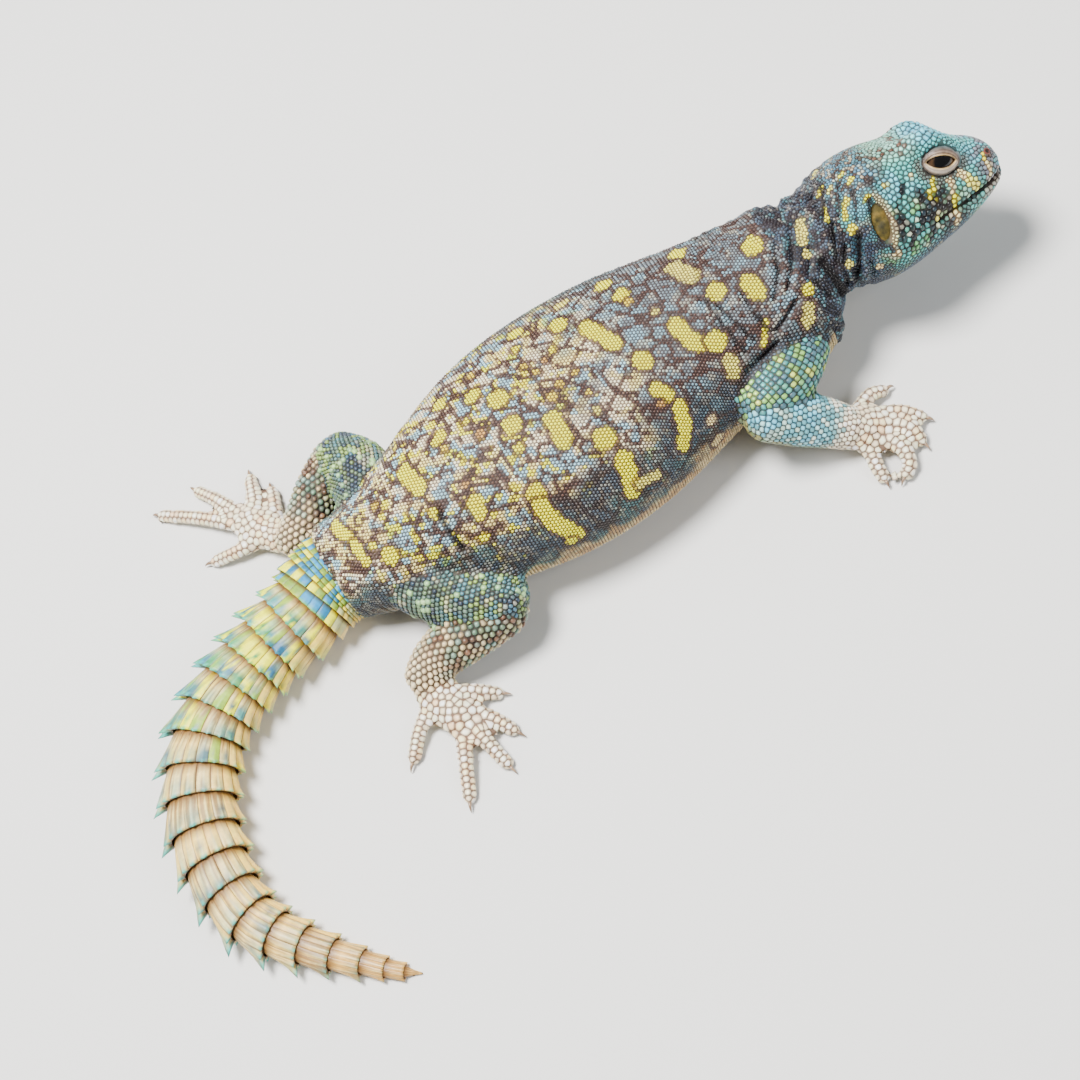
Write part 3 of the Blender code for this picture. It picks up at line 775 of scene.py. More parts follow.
# Places on the head, in its own frame. The bare disc of a nostril lies a little beside its rim.
eyePlace = {"x": 18.55, "y": 7.1, "z": 6.5, "radius": 4.0, "tilt": 20.0, "lids": (4.9, 3.75)}
earPlace = {"x": 0.6, "z": 0.6, "half": 2.0, "high": 4.9, "tilt": 2.0, "floor": 14.4, "frill": 16.3}
nostrilPlace = {"bare": (29.4, 5.6, 3.0), "rim": (29.2, 5.4, 3.0)}


def snap(points):
    # The nearest places on the skin, with their smooth normals and triangle numbers.
    spots = np.empty_like(points)
    faces = np.empty(len(points), dtype=int)
    for k, point in enumerate(points.tolist()):
        hit = skinTree.find_nearest(point)
        spots[k] = hit[0]
        faces[k] = hit[2]
    return spots, smoothNormals(spots, faces), faces


def smoothNormals(spots, faces):
    corners = skinTriangles[faces]
    weights = []
    for k in range(3):
        gone = np.linalg.norm(skinPoints[corners[:, k]] - spots, axis=1)
        weights.append(1 / (gone + 0.05))
    total = sum(skinNormals[corners[:, k]] * weights[k][:, None] for k in range(3))
    return unit(total)


def castMany(origins, ways, reach):
    # Where rays first meet the skin, and on which triangles: -1 where they miss it.
    spots = np.full((len(origins), 3), np.nan)
    faces = np.full(len(origins), -1)
    for k, (origin, way) in enumerate(zip(origins.tolist(), ways.tolist())):
        hit = skinTree.ray_cast(origin, way, reach)
        if hit[2] is not None:
            spots[k] = hit[0]
            faces[k] = hit[2]
    return spots, faces


def seenSpots(ways):
    return castMany(np.broadcast_to(cameraSpot, ways.shape), ways, view["reach"])


# Folds of loose skin: depth and half width in millimetres, then the pixels along each fold.
foldMarks = [
    (1.0, 0.75, (832, 226), (834, 246), (837, 266)), (1.1, 0.8, (857, 240), (860, 256), (858, 276)),
    (0.9, 1.0, (824, 262), (834, 278), (842, 292)), (0.8, 0.6, (845, 246), (843, 266), (848, 284)),
    (0.7, 0.7, (814, 282), (830, 296), (846, 302)), (0.6, 0.6, (712, 300), (735, 322), (758, 345)),
    (0.5, 0.55, (700, 300), (724, 330), (744, 356)), (0.6, 0.6, (742, 296), (758, 316), (768, 334)),
    (0.6, 0.6, (774, 246), (778, 272), (774, 300)), (0.6, 0.6, (790, 230), (793, 260), (788, 288)),
    (0.5, 0.5, (808, 232), (811, 256), (808, 280)), (0.8, 0.9, (776, 344), (762, 358), (748, 372)),
    (0.6, 0.7, (440, 512), (452, 533), (464, 548)), (0.4, 0.5, (728, 300), (748, 324), (764, 344)),
    (0.45, 0.5, (822, 190), (824, 206), (823, 220)), (0.5, 0.5, (838, 180), (838, 200), (840, 218)),
    (0.45, 0.5, (852, 186), (856, 204), (857, 222)), (0.6, 0.7, (798, 300), (786, 318), (776, 332)),
    (0.5, 0.6, (870, 262), (874, 274), (880, 284)), (0.4, 0.5, (430, 522), (444, 545), (450, 556)),
]
foldPlan = {
    "neckDepth": 0.3,
    "neckPitch": 3.1,
    "pleatDepth": 0.12,
    "pleatPitch": 2.6,
    "trunkLength": 131.0,
    "markDepth": 1.35,
    "farShare": 0.85,
    "headFrom": 96.0,
}


def distanceTo(points, spots):
    # How far places are from a line through some spots.
    if len(spots) == 1:
        return np.linalg.norm(points - spots[0], axis=1)
    best = np.full(len(points), farAway)
    for a, b in zip(spots[:-1], spots[1:]):
        step = b - a
        part = np.clip(((points - a) @ step) / max(step @ step, 1e-9), 0, 1)
        best = np.minimum(best, np.linalg.norm(points - a - part[:, None] * step, axis=1))
    return best


def linesOnSkin(marks, first):
    # The marks' own values, then the places on the skin that the camera sees at their pixels.
    found = []
    for mark in marks:
        ways = np.array([rayThrough(px, py)[:] for px, py in mark[first:]])
        spots, faces = seenSpots(ways)
        good = spots[faces >= 0]
        if len(good):
            found.append((*mark[:first], good))
    return found


def farSide(points):
    # The same places on the animal's other side, over the line of the trunk and the head.
    local = toHead(points)
    local[:, 1] *= -1
    mirrored = fromHead(local)
    line = evenLine(trunkLine, 1.0)
    side = lineFrames(line)[1]
    for k, point in enumerate(points):
        if point[0] > foldPlan["headFrom"]:
            continue
        m = int(np.argmin(np.linalg.norm(line - point, axis=1)))
        mirrored[k] = point - 2 * ((point - line[m]) @ side[m]) * side[m]
    return snap(mirrored)[0]


def foldDepth(local, head):
    # How deep each place sinks at the marked folds, the neck's and flank's pleats and the mouth.
    ripple = (clouds(skinPoints, 5.0, 141) - 0.5) * 2.2
    folds = linesOnSkin(foldMarks, 2)
    folds += [(depth * foldPlan["farShare"], width, farSide(spots)) for depth, width, spots in folds]
    depth = np.zeros(len(skinPoints))
    for deep, width, spots in folds:
        near = distanceTo(skinPoints, spots) + ripple * 0.12
        deep *= foldPlan["markDepth"]
        depth += deep * hill(near, 0, width) - deep * 0.3 * hill(near, width * 2.4, width * 1.0)
    along, turn = readLines(skinPoints, skinParts)[1:3]
    sides = rise(0.75, 0.2, np.sin(turn)) * rise(-0.95, -0.5, np.sin(turn))
    neck = skinParts == partOf["neck"]
    torso = skinParts == partOf["torso"]
    neckPlace = (skinPoints @ unit(np.array([1.0, 0.0, 0.3]))) + ripple
    wave = np.cos(neckPlace / foldPlan["neckPitch"] * 2 * math.pi)
    front = np.where(neck, 1.0, np.where(torso, rise(0.86, 1.0, along), 0))
    front = np.where(head, rise(-1.5, -6.5, local[:, 0]), front)
    depth += foldPlan["neckDepth"] * wave * sides * front
    lips = np.where(head, rise(*mouthPlan["corner"], local[:, 0]), 0)
    gone = mouthDistance(local)
    depth += lips * (mouthPlan["depth"] * hill(gone, 0, mouthPlan["width"]) - 0.2 * hill(gone, 1.3, 0.8))
    place = along * foldPlan["trunkLength"] + ripple * 0.6
    pleat = np.cos(place / foldPlan["pleatPitch"] * 2 * math.pi)
    share = np.where(torso, 0.35 + rise(0.62, 0.8, along) + rise(0.3, 0.1, along), 0)
    depth += foldPlan["pleatDepth"] * pleat * sides * share
    return depth


def foldSkin():
    # Creases and pleats on both sides, and room for the eyes and ears.
    global skinPoints, skinNormals, skinTree
    head = skinParts == partOf["head"]
    local = toHead(skinPoints)
    skinPoints = skinPoints - skinNormals * foldDepth(local, head)[:, None]
    side = sideOf(local)
    out = local[:, 1] * side
    socket = np.maximum(out - eyePlace["y"] - 1.3, 0) * rise(0.98, 0.78, eyeDistance(local)[0])
    ear = earDistance(local)
    hollow = np.maximum(out - earPlace["floor"], 0) * rise(1.05, 0.8, ear)
    frill = rise(1.1, 1.35, ear) * rise(2.2, 1.5, ear) * np.maximum(earPlace["frill"] - out, 0) * (out > 13)
    shift = side * np.where(head, frill - socket - hollow, 0)
    skinPoints = skinPoints + shift[:, None] * headAxes[:, 1][None]
    skinNormals = vertexNormals(skinPoints, skinTriangles)
    skinTree = BVHTree.FromPolygons(skinPoints.tolist(), skinTriangles.tolist())


# Rows of scales run round the body and the legs.
rowPlans = {
    "torso": {"pitch": 0.87, "row": 0.76, "reach": 34.0, "rays": 260, "level": 0.35, "stagger": True},
    "upper_arm": {"pitch": 1.4, "row": 1.3, "reach": 10.0, "rays": 90, "level": 1.0, "stagger": False},
    "forearm": {"pitch": 1.35, "row": 1.2, "reach": 9.0, "rays": 80, "level": 1.0, "stagger": True},
    "thigh": {"pitch": 1.15, "row": 1.05, "reach": 11.0, "rays": 90, "level": 1.0, "stagger": True},
    "shin": {"pitch": 1.7, "row": 1.5, "reach": 9.0, "rays": 80, "level": 1.0, "stagger": True},
}
jumpLimit = 3.0  # a longer step between two rays leaves the part


def rowSeeds(name, path):
    # Scales in rows: rays from the part's line find the skin, and even steps are taken over it.
    plan = rowPlans[name.removesuffix("_r").removesuffix("_l")]
    line = evenLine([row[:3] for row in path], plan["row"])
    sloped = line.copy()
    sloped[:, 2] = line[0, 2] + (line[:, 2] - line[0, 2]) * plan["level"]
    side, up = lineFrames(sloped)[1:]
    rays = plan["rays"]
    turns = wholeTurn(rays)
    found = []
    for k in range(len(line)):
        ways = -side[k] * np.cos(turns)[:, None] + up[k] * np.sin(turns)[:, None]
        spots, faces = castMany(np.broadcast_to(line[k], ways.shape), ways, plan["reach"])
        good = (faces >= 0) & (skinParts[skinTriangles[faces, 0]] == partOf[name])
        for sense in (1, -1):
            order = (rays // 4 + sense * np.arange(rays // 2 + 1)) % rays
            placed = np.where(np.isnan(spots[order]), line[k], spots[order])
            gone = lengthsAlong(placed)
            start = 0.5 if k % 2 and plan["stagger"] else (0.0 if sense > 0 else 1.0)
            wanted = np.arange(start * plan["pitch"], gone[-1], plan["pitch"])
            slot = np.clip(np.searchsorted(gone, wanted, side="right") - 1, 0, len(order) - 2)
            share = (wanted - gone[slot]) / np.maximum(gone[slot + 1] - gone[slot], 1e-6)
            fine = good[order[slot]] & good[order[slot + 1]] & (gone[slot + 1] - gone[slot] < jumpLimit)
            point = placed[slot] * (1 - share[:, None]) + placed[slot + 1] * share[:, None]
            found.append(point[fine])
    return np.concatenate(found)


def digitSeeds(foot):
    # Broad plates in bands over each digit, one along its top and one down each side.
    found = []
    for path in foot["digits"]:
        line = evenLine([(x, y, z - footSink) for x, y, z in path], 1.5)[2:]
        ahead, side, up = lineFrames(line)
        for degrees in (0, 66, -66):
            turn = math.radians(degrees)
            shift = ahead * 0.5 * (degrees != 0)
            ways = up * math.cos(turn) + side * math.sin(turn)
            spots, faces = castMany(line + shift, ways, 4.0)
            found.append(spots[faces >= 0])
    return np.concatenate(found)


def lipSeeds():
    # One row of scales along each lip, on both sides.
    found = []
    level = math.radians(mouthPlan["heading"])
    places = np.linspace(mouthPlan["corner"][1] - 1.2, mouthPlan["tip"], 60)
    origins = fromHead(np.stack([places, places * 0, places * 0], axis=1))
    for side in (-1, 1):
        for row in (-1, 1):
            headings = np.full(len(places), level)
            for _ in range(2):
                local = np.stack([headings * 0, side * np.cos(headings), np.sin(headings)], axis=1)
                ways = local @ headAxes.T
                spots, faces = castMany(origins, ways, 30.0)
                headings = level + row * mouthPlan["row"] / np.linalg.norm(spots - origins, axis=1)
            spots = spots[faces >= 0]
            run = lengthsAlong(spots)
            found.append(columnsAt(np.arange(0.3 * (row > 0), run[-1], mouthPlan["step"]), run, spots))
    return np.concatenate(found)


def headZones(local):
    # How far forward on the head a place is, and its turn up from the side in degrees.
    return local[:, 0], np.degrees(np.arctan2(local[:, 2], np.abs(local[:, 1])))


def sideOf(local):
    return np.where(local[:, 1] < 0, -1.0, 1.0)


def tilted(local, place, middle):
    # The reach forward and up from the middle of the eye or ear, along its own tilted axes.
    tilt = math.radians(place["tilt"])
    dx = local[:, 0] - place["x"] - middle
    dz = local[:, 2] - place["z"]
    return dx * math.cos(tilt) - dz * math.sin(tilt), dx * math.sin(tilt) + dz * math.cos(tilt)


def eyeDistance(local):
    # How far a place is from the middle of the eye, in sizes of the lids' outline, and how high.
    u, v = tilted(local, eyePlace, 0.2)
    outward = (local[:, 1] * sideOf(local) - eyePlace["y"]) > -1.0
    far = np.hypot(u / eyePlace["lids"][0], v / eyePlace["lids"][1])
    return np.where(outward, far, outOfReach), v


def earDistance(local):
    # How far a place is from the middle of the ear, in sizes of its opening.
    u, v = tilted(local, earPlace, 0.0)
    far = np.hypot(u / earPlace["half"], v / earPlace["high"])
    return np.where(np.abs(local[:, 1]) > 10, far, outOfReach)


# Where the lips meet: the heading round the head, then the corner, the groove and the rows of lip scales.
mouthPlan = {
    "heading": -25.0, "corner": (11.5, 14.0), "depth": 0.75, "width": 0.5, "bare": 0.4, "row": 0.92,
    "step": 1.3, "tip": 31.9,
}


def mouthDistance(local):
    # How far a place is from the line of the mouth, in millimetres.
    gone = np.radians(headZones(local)[1] - mouthPlan["heading"])
    reach = np.hypot(local[:, 1], local[:, 2])
    return np.where(local[:, 0] > mouthPlan["corner"][0], np.abs(gone) * reach, outOfReach)


def nostrilDistance(local):
    x, y, z = nostrilPlace["bare"]
    gone = local - np.array([x, 0, z])
    gone[:, 1] = np.abs(local[:, 1]) - y
    return np.linalg.norm(gone, axis=1)


foldSkin()
print("skin folded")


pitchPlan = {
    "plain": 0.86,
    "digits": 1.16,
    "neck": 0.76,
    "upper_arm": 1.4,
    "forearm": 1.35,
    "thigh": 1.1,
    "shin": 1.6,
    "hand": 1.5,
    "foot": 1.6,
    "head": 1.08,
    "least": 0.6,
}


def headPitch(local):
    # Scales are larger over the brow and cheek, and smaller at the nape, snout, throat, lids and ears.
    x, turn = headZones(local)
    size = np.full(len(x), pitchPlan["head"])
    size += 0.26 * hill(x, 17, 5) * rise(38, 55, turn)
    size += 0.42 * hill(x, 8.5, 6) * hill(turn, -10, 24)
    size -= 0.34 * rise(5, -2, x)
    size -= 0.22 * hill(x, 6, 5) * rise(45, 70, turn)
    size -= 0.15 * rise(24, 30, x)
    size -= 0.2 * rise(-40, -65, turn)
    size -= 0.4 * rise(1.6, 1.1, eyeDistance(local)[0])
    size -= 0.4 * rise(1.7, 1.1, earDistance(local))
    return np.maximum(size, pitchPlan["least"])


def pitchAt(points, parts, which):
    # How far apart the scales stand at each place.
    pitch = np.full(len(points), pitchPlan["plain"])
    for name in partNames:
        mine = parts == partOf[name]
        if name == "head":
            pitch[mine] = headPitch(toHead(points[mine]))
            continue
        pitch[mine] = pitchPlan.get(name.rsplit("_", 1)[0], pitchPlan["plain"])
        if name in feet:
            pitch[mine] *= np.where(which[mine] > 0, pitchPlan["digits"], 1.0)
    return pitch


fillPlan = {"density": 7.0, "torsoShare": 0.5, "clear": 0.8, "cell": 0.8}


def cellOf(point):
    return tuple(int(value // fillPlan["cell"]) for value in point)


def isClear(grid, point, near):
    # Whether every scale in the grid is farther from the point than this.
    x, y, z = point
    reach = 1 if near <= fillPlan["cell"] else 2
    for key in itertools.product(*(range(k - reach, k + reach + 1) for k in cellOf(point))):
        for qx, qy, qz in grid.get(key, ()):
            if (x - qx) ** 2 + (y - qy) ** 2 + (z - qz) ** 2 < near * near:
                return False
    return True


def fillSeeds(taken):
    # Scales thrown over all the skin that the rows leave bare, never nearer than their size.
    corners = skinPoints[skinTriangles]
    middle = corners.mean(axis=1)
    parts = skinParts[skinTriangles[:, 0]]
    flat = np.cross(corners[:, 1] - corners[:, 0], corners[:, 2] - corners[:, 0])
    area = np.linalg.norm(flat, axis=1) / 2
    pitch = pitchAt(middle, parts, readLines(middle, parts)[3])
    wanted = area * fillPlan["density"] / pitch**2
    wanted[parts == partOf["tail"]] = 0
    wanted[parts == partOf["torso"]] *= fillPlan["torsoShare"]
    wanted[(parts == partOf["head"]) & (mouthDistance(toHead(middle)) < mouthPlan["bare"])] = 0
    count = np.floor(wanted + dice.random(len(wanted))).astype(int)
    picked = np.repeat(np.arange(len(count)), count)
    a = np.sqrt(dice.random(len(picked)))[:, None]
    b = dice.random(len(picked))[:, None]
    tri = corners[picked]
    spots = tri[:, 0] * (1 - a) + tri[:, 1] * a * (1 - b) + tri[:, 2] * a * b
    size = pitch[picked]
    order = dice.permutation(len(spots))
    grid = {}
    for point in taken.tolist():
        grid.setdefault(cellOf(point), []).append(point)
    kept = []
    for k in order:
        point = spots[k].tolist()
        if isClear(grid, point, size[k] * fillPlan["clear"]):
            grid.setdefault(cellOf(point), []).append(point)
            kept.append(k)
    return spots[kept]


def neighboursOf(points, picked, count):
    tree = kdtree.KDTree(len(points))
    for k, point in enumerate(points.tolist()):
        tree.insert(point, k)
    tree.balance()
    found = np.empty((len(picked), count), dtype=int)
    for row, k in enumerate(picked):
        near = [hit[1] for hit in tree.find_n(points[k], count + 1) if hit[1] != k]
        found[row] = near[:count]
    return found


def relax(points, start, rounds):
    # Pushes the thrown scales apart so that they lie evenly. The rows stay where they are.
    moving = np.arange(start, len(points))
    for _ in range(rounds):
        near = neighboursOf(points, moving, 6)
        offset = points[moving][:, None] - points[near]
        gone = np.linalg.norm(offset, axis=2)
        target = gone.mean(axis=1, keepdims=True) * 1.08
        short = np.maximum(target - gone, 0)[:, :, None]
        push = (offset / np.maximum(gone, 1e-6)[:, :, None] * short).sum(axis=1)
        points[moving] = snap(points[moving] + push * 0.35)[0]
    return points


rowSets = [rowSeeds("torso", trunkLine)]
rowSets += [rowSeeds(name, path) for name, path in legLines.items()]
rowSets += [digitSeeds(foot) for foot in feet.values()]
rowPoints = np.concatenate([*rowSets, lipSeeds()])
print(len(rowPoints), "scales in rows")
fillPoints = fillSeeds(rowPoints)
print(len(fillPoints), "scales between the rows")
seedPoints = relax(np.concatenate([rowPoints, fillPoints]), len(rowPoints), 3)
seedPoints, seedNormals, seedFaces = snap(seedPoints)
seedParts = skinParts[skinTriangles[seedFaces, 0]]
seedWay, seedAlong, seedTurn, seedWhich = readLines(seedPoints, seedParts)
seedPitch = pitchAt(seedPoints, seedParts, seedWhich)
print("scales placed")

# Markings, the same for the skin and for every scale on it.
tones = {
    "yellow": (255, 248, 70), "gold": (226, 208, 112), "cream": (232, 216, 180), "lemon": (226, 220, 150),
    "orange": (186, 158, 112), "teal": (112, 150, 156), "greyBlue": (106, 120, 136),
    "slate": (66, 74, 92), "brown": (92, 66, 56), "darkBrown": (50, 36, 34), "bone": (220, 212, 192),
    "black": (16, 14, 18), "turquoise": (116, 182, 178), "sky": (138, 190, 208), "leaf": (168, 192, 118),
    "sage": (122, 146, 122), "blush": (240, 228, 212), "tan": (172, 142, 108), "olive": (140, 122, 60),
    "chain": (80, 62, 57), "straw": (226, 214, 168), "ivory": (238, 214, 158), "umber": (70, 50, 42),
    "flank": (88, 110, 112), "flankGrey": (80, 88, 96), "ice": (158, 190, 206),
    "coolGrey": (120, 128, 134), "coolBlue": (138, 160, 170), "neckNet": (46, 38, 44),
    # socket is a painted shade for the hollow round the eye.
    "snout": (124, 112, 120), "temple": (150, 208, 208), "socket": (108, 100, 94),
    "armTeal": (104, 150, 148), "armGreen": (148, 170, 112), "thigh": (100, 116, 108),
    "kneeGreen": (150, 166, 110), "crown": (172.84, 194.22, 173.7), "tubercle": (176, 200, 160),
    "lowerLid": (186, 180, 172),
}
tones = {name: np.array(value, dtype=float) for name, value in tones.items()}

# Each marking: its tone, its radius in millimetres, then the pixels of the photograph that its middle line
# goes through.
bodyMarks = [
    ("yellow", 2.5, (752, 246)), ("yellow", 2.2, (677, 253)), ("lemon", 2.2, (674, 268), (691, 276)),
    ("yellow", 2.3, (716, 292)), ("yellow", 2.2, (749, 283), (757, 291)),
    ("yellow", 2.0, (676, 325), (690, 340), (702, 343)), ("yellow", 2.5, (716, 341)),
    ("lemon", 1.8, (730, 362), (733, 372)), ("yellow", 0.7, (766, 322), (764, 345)),
    ("yellow", 1.9, (587, 327), (615, 344)), ("yellow", 2.4, (642, 360)), ("yellow", 2.1, (603, 285)),
    ("yellow", 1.2, (606, 271)), ("yellow", 2.0, (621, 295)), ("gold", 1.0, (628, 302)),
    ("lemon", 1.1, (558, 307), (565, 302)), ("yellow", 2.2, (558, 325)), ("yellow", 2.1, (515, 333)),
    ("yellow", 1.1, (516, 349)), ("lemon", 0.9, (520, 312)), ("yellow", 2.0, (472, 396)),
    ("yellow", 2.5, (498, 399)), ("yellow", 1.7, (439, 405)), ("gold", 1.1, (471, 376)),
    ("yellow", 2.4, (512, 425)), ("yellow", 0.9, (466, 421)), ("yellow", 1.4, (437, 441), (442, 435)),
    ("gold", 0.9, (445, 448)), ("yellow", 2.2, (553, 420), (563, 439)), ("yellow", 1.2, (519, 448)),
    ("orange", 1.2, (480, 434)), ("yellow", 2.6, (604, 438)), ("yellow", 2.1, (624, 460), (634, 490)),
    ("lemon", 1.2, (640, 483), (657, 475)), ("yellow", 1.7, (657, 388), (668, 396)),
    ("yellow", 1.7, (680, 407), (685, 425), (684, 445)), ("orange", 0.9, (661, 404)),
    ("cream", 1.2, (712, 420)), ("cream", 1.9, (717, 440)), ("yellow", 2.1, (536, 492), (541, 507)),
    ("yellow", 2.0, (541, 507), (557, 524), (577, 535)), ("yellow", 1.2, (572, 541)),
    ("yellow", 1.9, (404, 471), (420, 489)), ("yellow", 1.4, (434, 514)),
    ("yellow", 2.0, (475, 503), (478, 512)), ("orange", 0.9, (465, 485)), ("yellow", 1.1, (485, 537)),
    ("yellow", 2.4, (390, 556)), ("gold", 1.3, (552, 397)), ("lemon", 1.1, (597, 410)),
    ("lemon", 1.0, (655, 312)), ("gold", 0.8, (536, 372)), ("gold", 0.9, (560, 384)),
    ("yellow", 0.8, (553, 350)), ("gold", 0.7, (575, 372)), ("gold", 0.8, (588, 392)),
    ("gold", 0.8, (524, 366)), ("orange", 0.7, (545, 360)), ("yellow", 1.5, (808, 290)),
    ("lemon", 1.4, (809, 306), (808, 322)), ("lemon", 1.3, (801, 224), (803, 240)),
    ("lemon", 1.2, (807, 253)), ("yellow", 1.0, (345, 532)), ("yellow", 1.2, (372, 546)),
    ("gold", 1.1, (375, 506)), ("lemon", 1.0, (359, 520)), ("yellow", 1.5, (334, 526), (350, 538)),
    ("yellow", 1.4, (354, 544), (366, 562)),
]
neckMarks = [
    ("yellow", 1.4, (853, 229)), ("yellow", 0.7, (844, 209), (845, 217)),
    ("yellow", 0.7, (825, 209), (827, 220)), ("lemon", 1.3, (849, 264)), ("lemon", 1.3, (853, 296)),
    ("cream", 0.9, (879, 267)), ("cream", 1.0, (898, 254)), ("yellow", 0.6, (868, 197), (866, 200)),
    ("yellow", 0.6, (847, 200), (845, 205)), ("lemon", 0.6, (831, 186), (829, 191)),
    ("yellow", 0.5, (822, 188), (819, 195)), ("yellow", 0.6, (851, 179), (850, 182)),
    ("lemon", 0.7, (832, 154), (830, 158)), ("lemon", 0.6, (816, 171), (813, 178)),
    ("yellow", 0.5, (843, 172), (840, 177)),
]
# Black lines, painted shade in the creases of the skin's folds and more dark lines towards the head: half
# width in millimetres, then the pixels.
creaseShadeAndDarkMarks = [
    (0.55, (832, 231), (834, 246), (838, 262)), (0.75, (859, 232), (860, 256), (856, 280)),
    (1.3, (822, 262), (832, 276), (842, 292)), (0.5, (846, 250), (842, 270)),
    (0.6, (815, 280), (830, 296), (846, 301)), (0.4, (718, 306), (735, 322), (756, 341)),
    (0.35, (704, 300), (728, 330), (746, 352)), (0.35, (745, 300), (760, 318), (770, 330)),
    (0.35, (774, 246), (778, 272), (774, 300)), (0.35, (790, 235), (793, 260), (788, 285)),
    (0.5, (776, 344), (760, 358)), (0.6, (440, 515), (452, 535), (462, 548)),
    (0.4, (795, 300), (785, 318), (775, 330)), (0.4, (822, 190), (824, 206), (823, 220)),
    (0.4, (838, 182), (838, 200), (840, 218)), (0.4, (852, 188), (856, 204), (857, 222)),
    (0.35, (869, 199), (869, 210)), (0.45, (898, 203), (899, 218)), (0.5, (913, 229), (912, 247)),
    (0.45, (903, 184), (900, 199)), (0.5, (933, 201), (944, 207)), (0.45, (919, 190), (921, 201)),
    (0.35, (950, 199), (950, 208)), (0.4, (925, 214), (921, 228)), (0.4, (904, 222), (903, 238)),
    (0.35, (936, 212), (930, 222)),
]
headMarks = [
    ("yellow", 0.7, (933, 180), (933, 190)), ("yellow", 0.6, (932, 193), (928, 194), (936, 201)),
    ("cream", 0.8, (950, 181), (953, 190)), ("yellow", 0.8, (955, 197), (956, 208)),
    ("cream", 1.0, (960, 173), (968, 178)), ("lemon", 1.0, (970, 179), (978, 187)),
    ("cream", 0.8, (988, 163), (991, 172)), ("cream", 0.9, (958, 214), (957, 222)),
    ("lemon", 0.9, (885, 186)), ("cream", 0.7, (911, 176)), ("lemon", 0.7, (938, 216)),
    ("gold", 0.5, (984, 153), (983, 160)),
]


# Only spots between these turns up from the side are mirrored, in radians and degrees.
mirrorPlan = {"lowest": -0.2, "highest": 78.0, "shift": 2.0, "twist": 0.07, "size": (0.8, 1.1)}


def nearestOn(line, place):
    return int(np.argmin(np.linalg.norm(line - place, axis=1)))


def mirroredMarks(marks):
    # The far side carries the same kind of spots, moved and sized a little differently.
    line = evenLine(trunkLine, 1.0)
    side, up = lineFrames(line)[1:]
    made = []
    for tone, radius, spots in marks:
        centre = spots.mean(axis=0)
        k = nearestOn(line, centre)
        offset = centre - line[k]
        turn = math.atan2(offset @ up[k], -(offset @ side[k]))
        if turn < mirrorPlan["lowest"] or turn > math.radians(mirrorPlan["highest"]):
            continue
        places = []
        shift = dice.normal(0, mirrorPlan["shift"])
        twist = dice.normal(0, mirrorPlan["twist"])
        for spot in spots:
            nearest = nearestOn(line, spot)
            m = int(np.clip(nearest + shift, 0, len(line) - 1))
            offset = spot - line[nearest]
            turn = math.pi - math.atan2(offset @ up[m], -(offset @ side[m])) + twist
            way = -side[m] * math.cos(turn) + up[m] * math.sin(turn)
            hits, faces = castMany(line[m : m + 1], way[None], 60.0)
            if faces[0] >= 0:
                places.append(hits[0])
        if places:
            seen, faces = seenSpots(unit(places[0] - cameraSpot)[None])
            if faces[0] >= 0 and np.linalg.norm(seen[0] - places[0]) < radius + 1.5:
                continue
            made.append((tone, radius * dice.uniform(*mirrorPlan["size"]), np.array(places)))
    return made


spotsOnBody = linesOnSkin(bodyMarks, 2)
spotsOnBody += mirroredMarks(spotsOnBody)
spotsOnNeck = linesOnSkin(neckMarks, 2)
spotsOnHead = linesOnSkin(headMarks, 2)
creaseShadeAndDarkLines = linesOnSkin(creaseShadeAndDarkMarks, 1)


def blend(colour, tone, share):
    # Paint of one tone laid over a colour, by a share for each place.
    share = np.asarray(share)[:, None]
    return colour * (1 - share) + tone * share


def layers(colour, *coats):
    # Coats of paint laid in turn: the tone, how light it is, and its share for each place.
    for tone, level, share in coats:
        colour = blend(colour, tones[tone] * level, share)
    return colour


def addMarks(colour, points, marks, wobble, ringTone=None):
    # Spots with uneven edges, with a ring of another tone round them where one is named.
    for tone, radius, spots in marks:
        near = distanceTo(points, spots) + wobble * min(radius, 1.6) * 0.45
        if ringTone is not None:
            ring = rise(radius + 1.2, radius + 0.6, near) * rise(radius - 0.3, radius + 0.3, near)
            colour = blend(colour, tones[ringTone], ring * 0.75)
        colour = blend(colour, tones[tone], rise(radius + 0.2, radius - 0.15, near))
    return colour


def netOf(points, size, seed):
    # How far inside the cells of an uneven net a place is: low along the net's own lines.
    cells = np.asarray(points) / size + 17.3
    warp = np.stack([clouds(points, size * 1.6, seed + k) for k in range(3)], axis=1)
    cells = cells + (warp - 0.5) * 0.8
    base = np.floor(cells).astype(np.int64)
    nearest = np.full(len(cells), 9.0)
    second = np.full(len(cells), 9.0)
    for number in range(27):
        place = base + [number % 3 - 1, number // 3 % 3 - 1, number // 9 - 1]
        mixed = cellNumber(place, seed + 3)
        jump = np.stack([(mixed >> shift & 1023) / 1023 for shift in (0, 10, 20)], axis=1)
        gone = np.linalg.norm(place + 0.1 + 0.8 * jump - cells, axis=1)
        second = np.minimum(second, np.maximum(gone, nearest))
        nearest = np.minimum(nearest, gone)
    return second - nearest


torsoPlan = {
    "darkNet": 3.6, "chainNet": 3.3, "chainWidth": 0.115, "chain": 0.95, "rim": 0.40, "fleck": 0.8,
    "belly": 0.9,
}


def jitterOf(scatter):
    return (scatter[:, 0] - 0.5) * 2


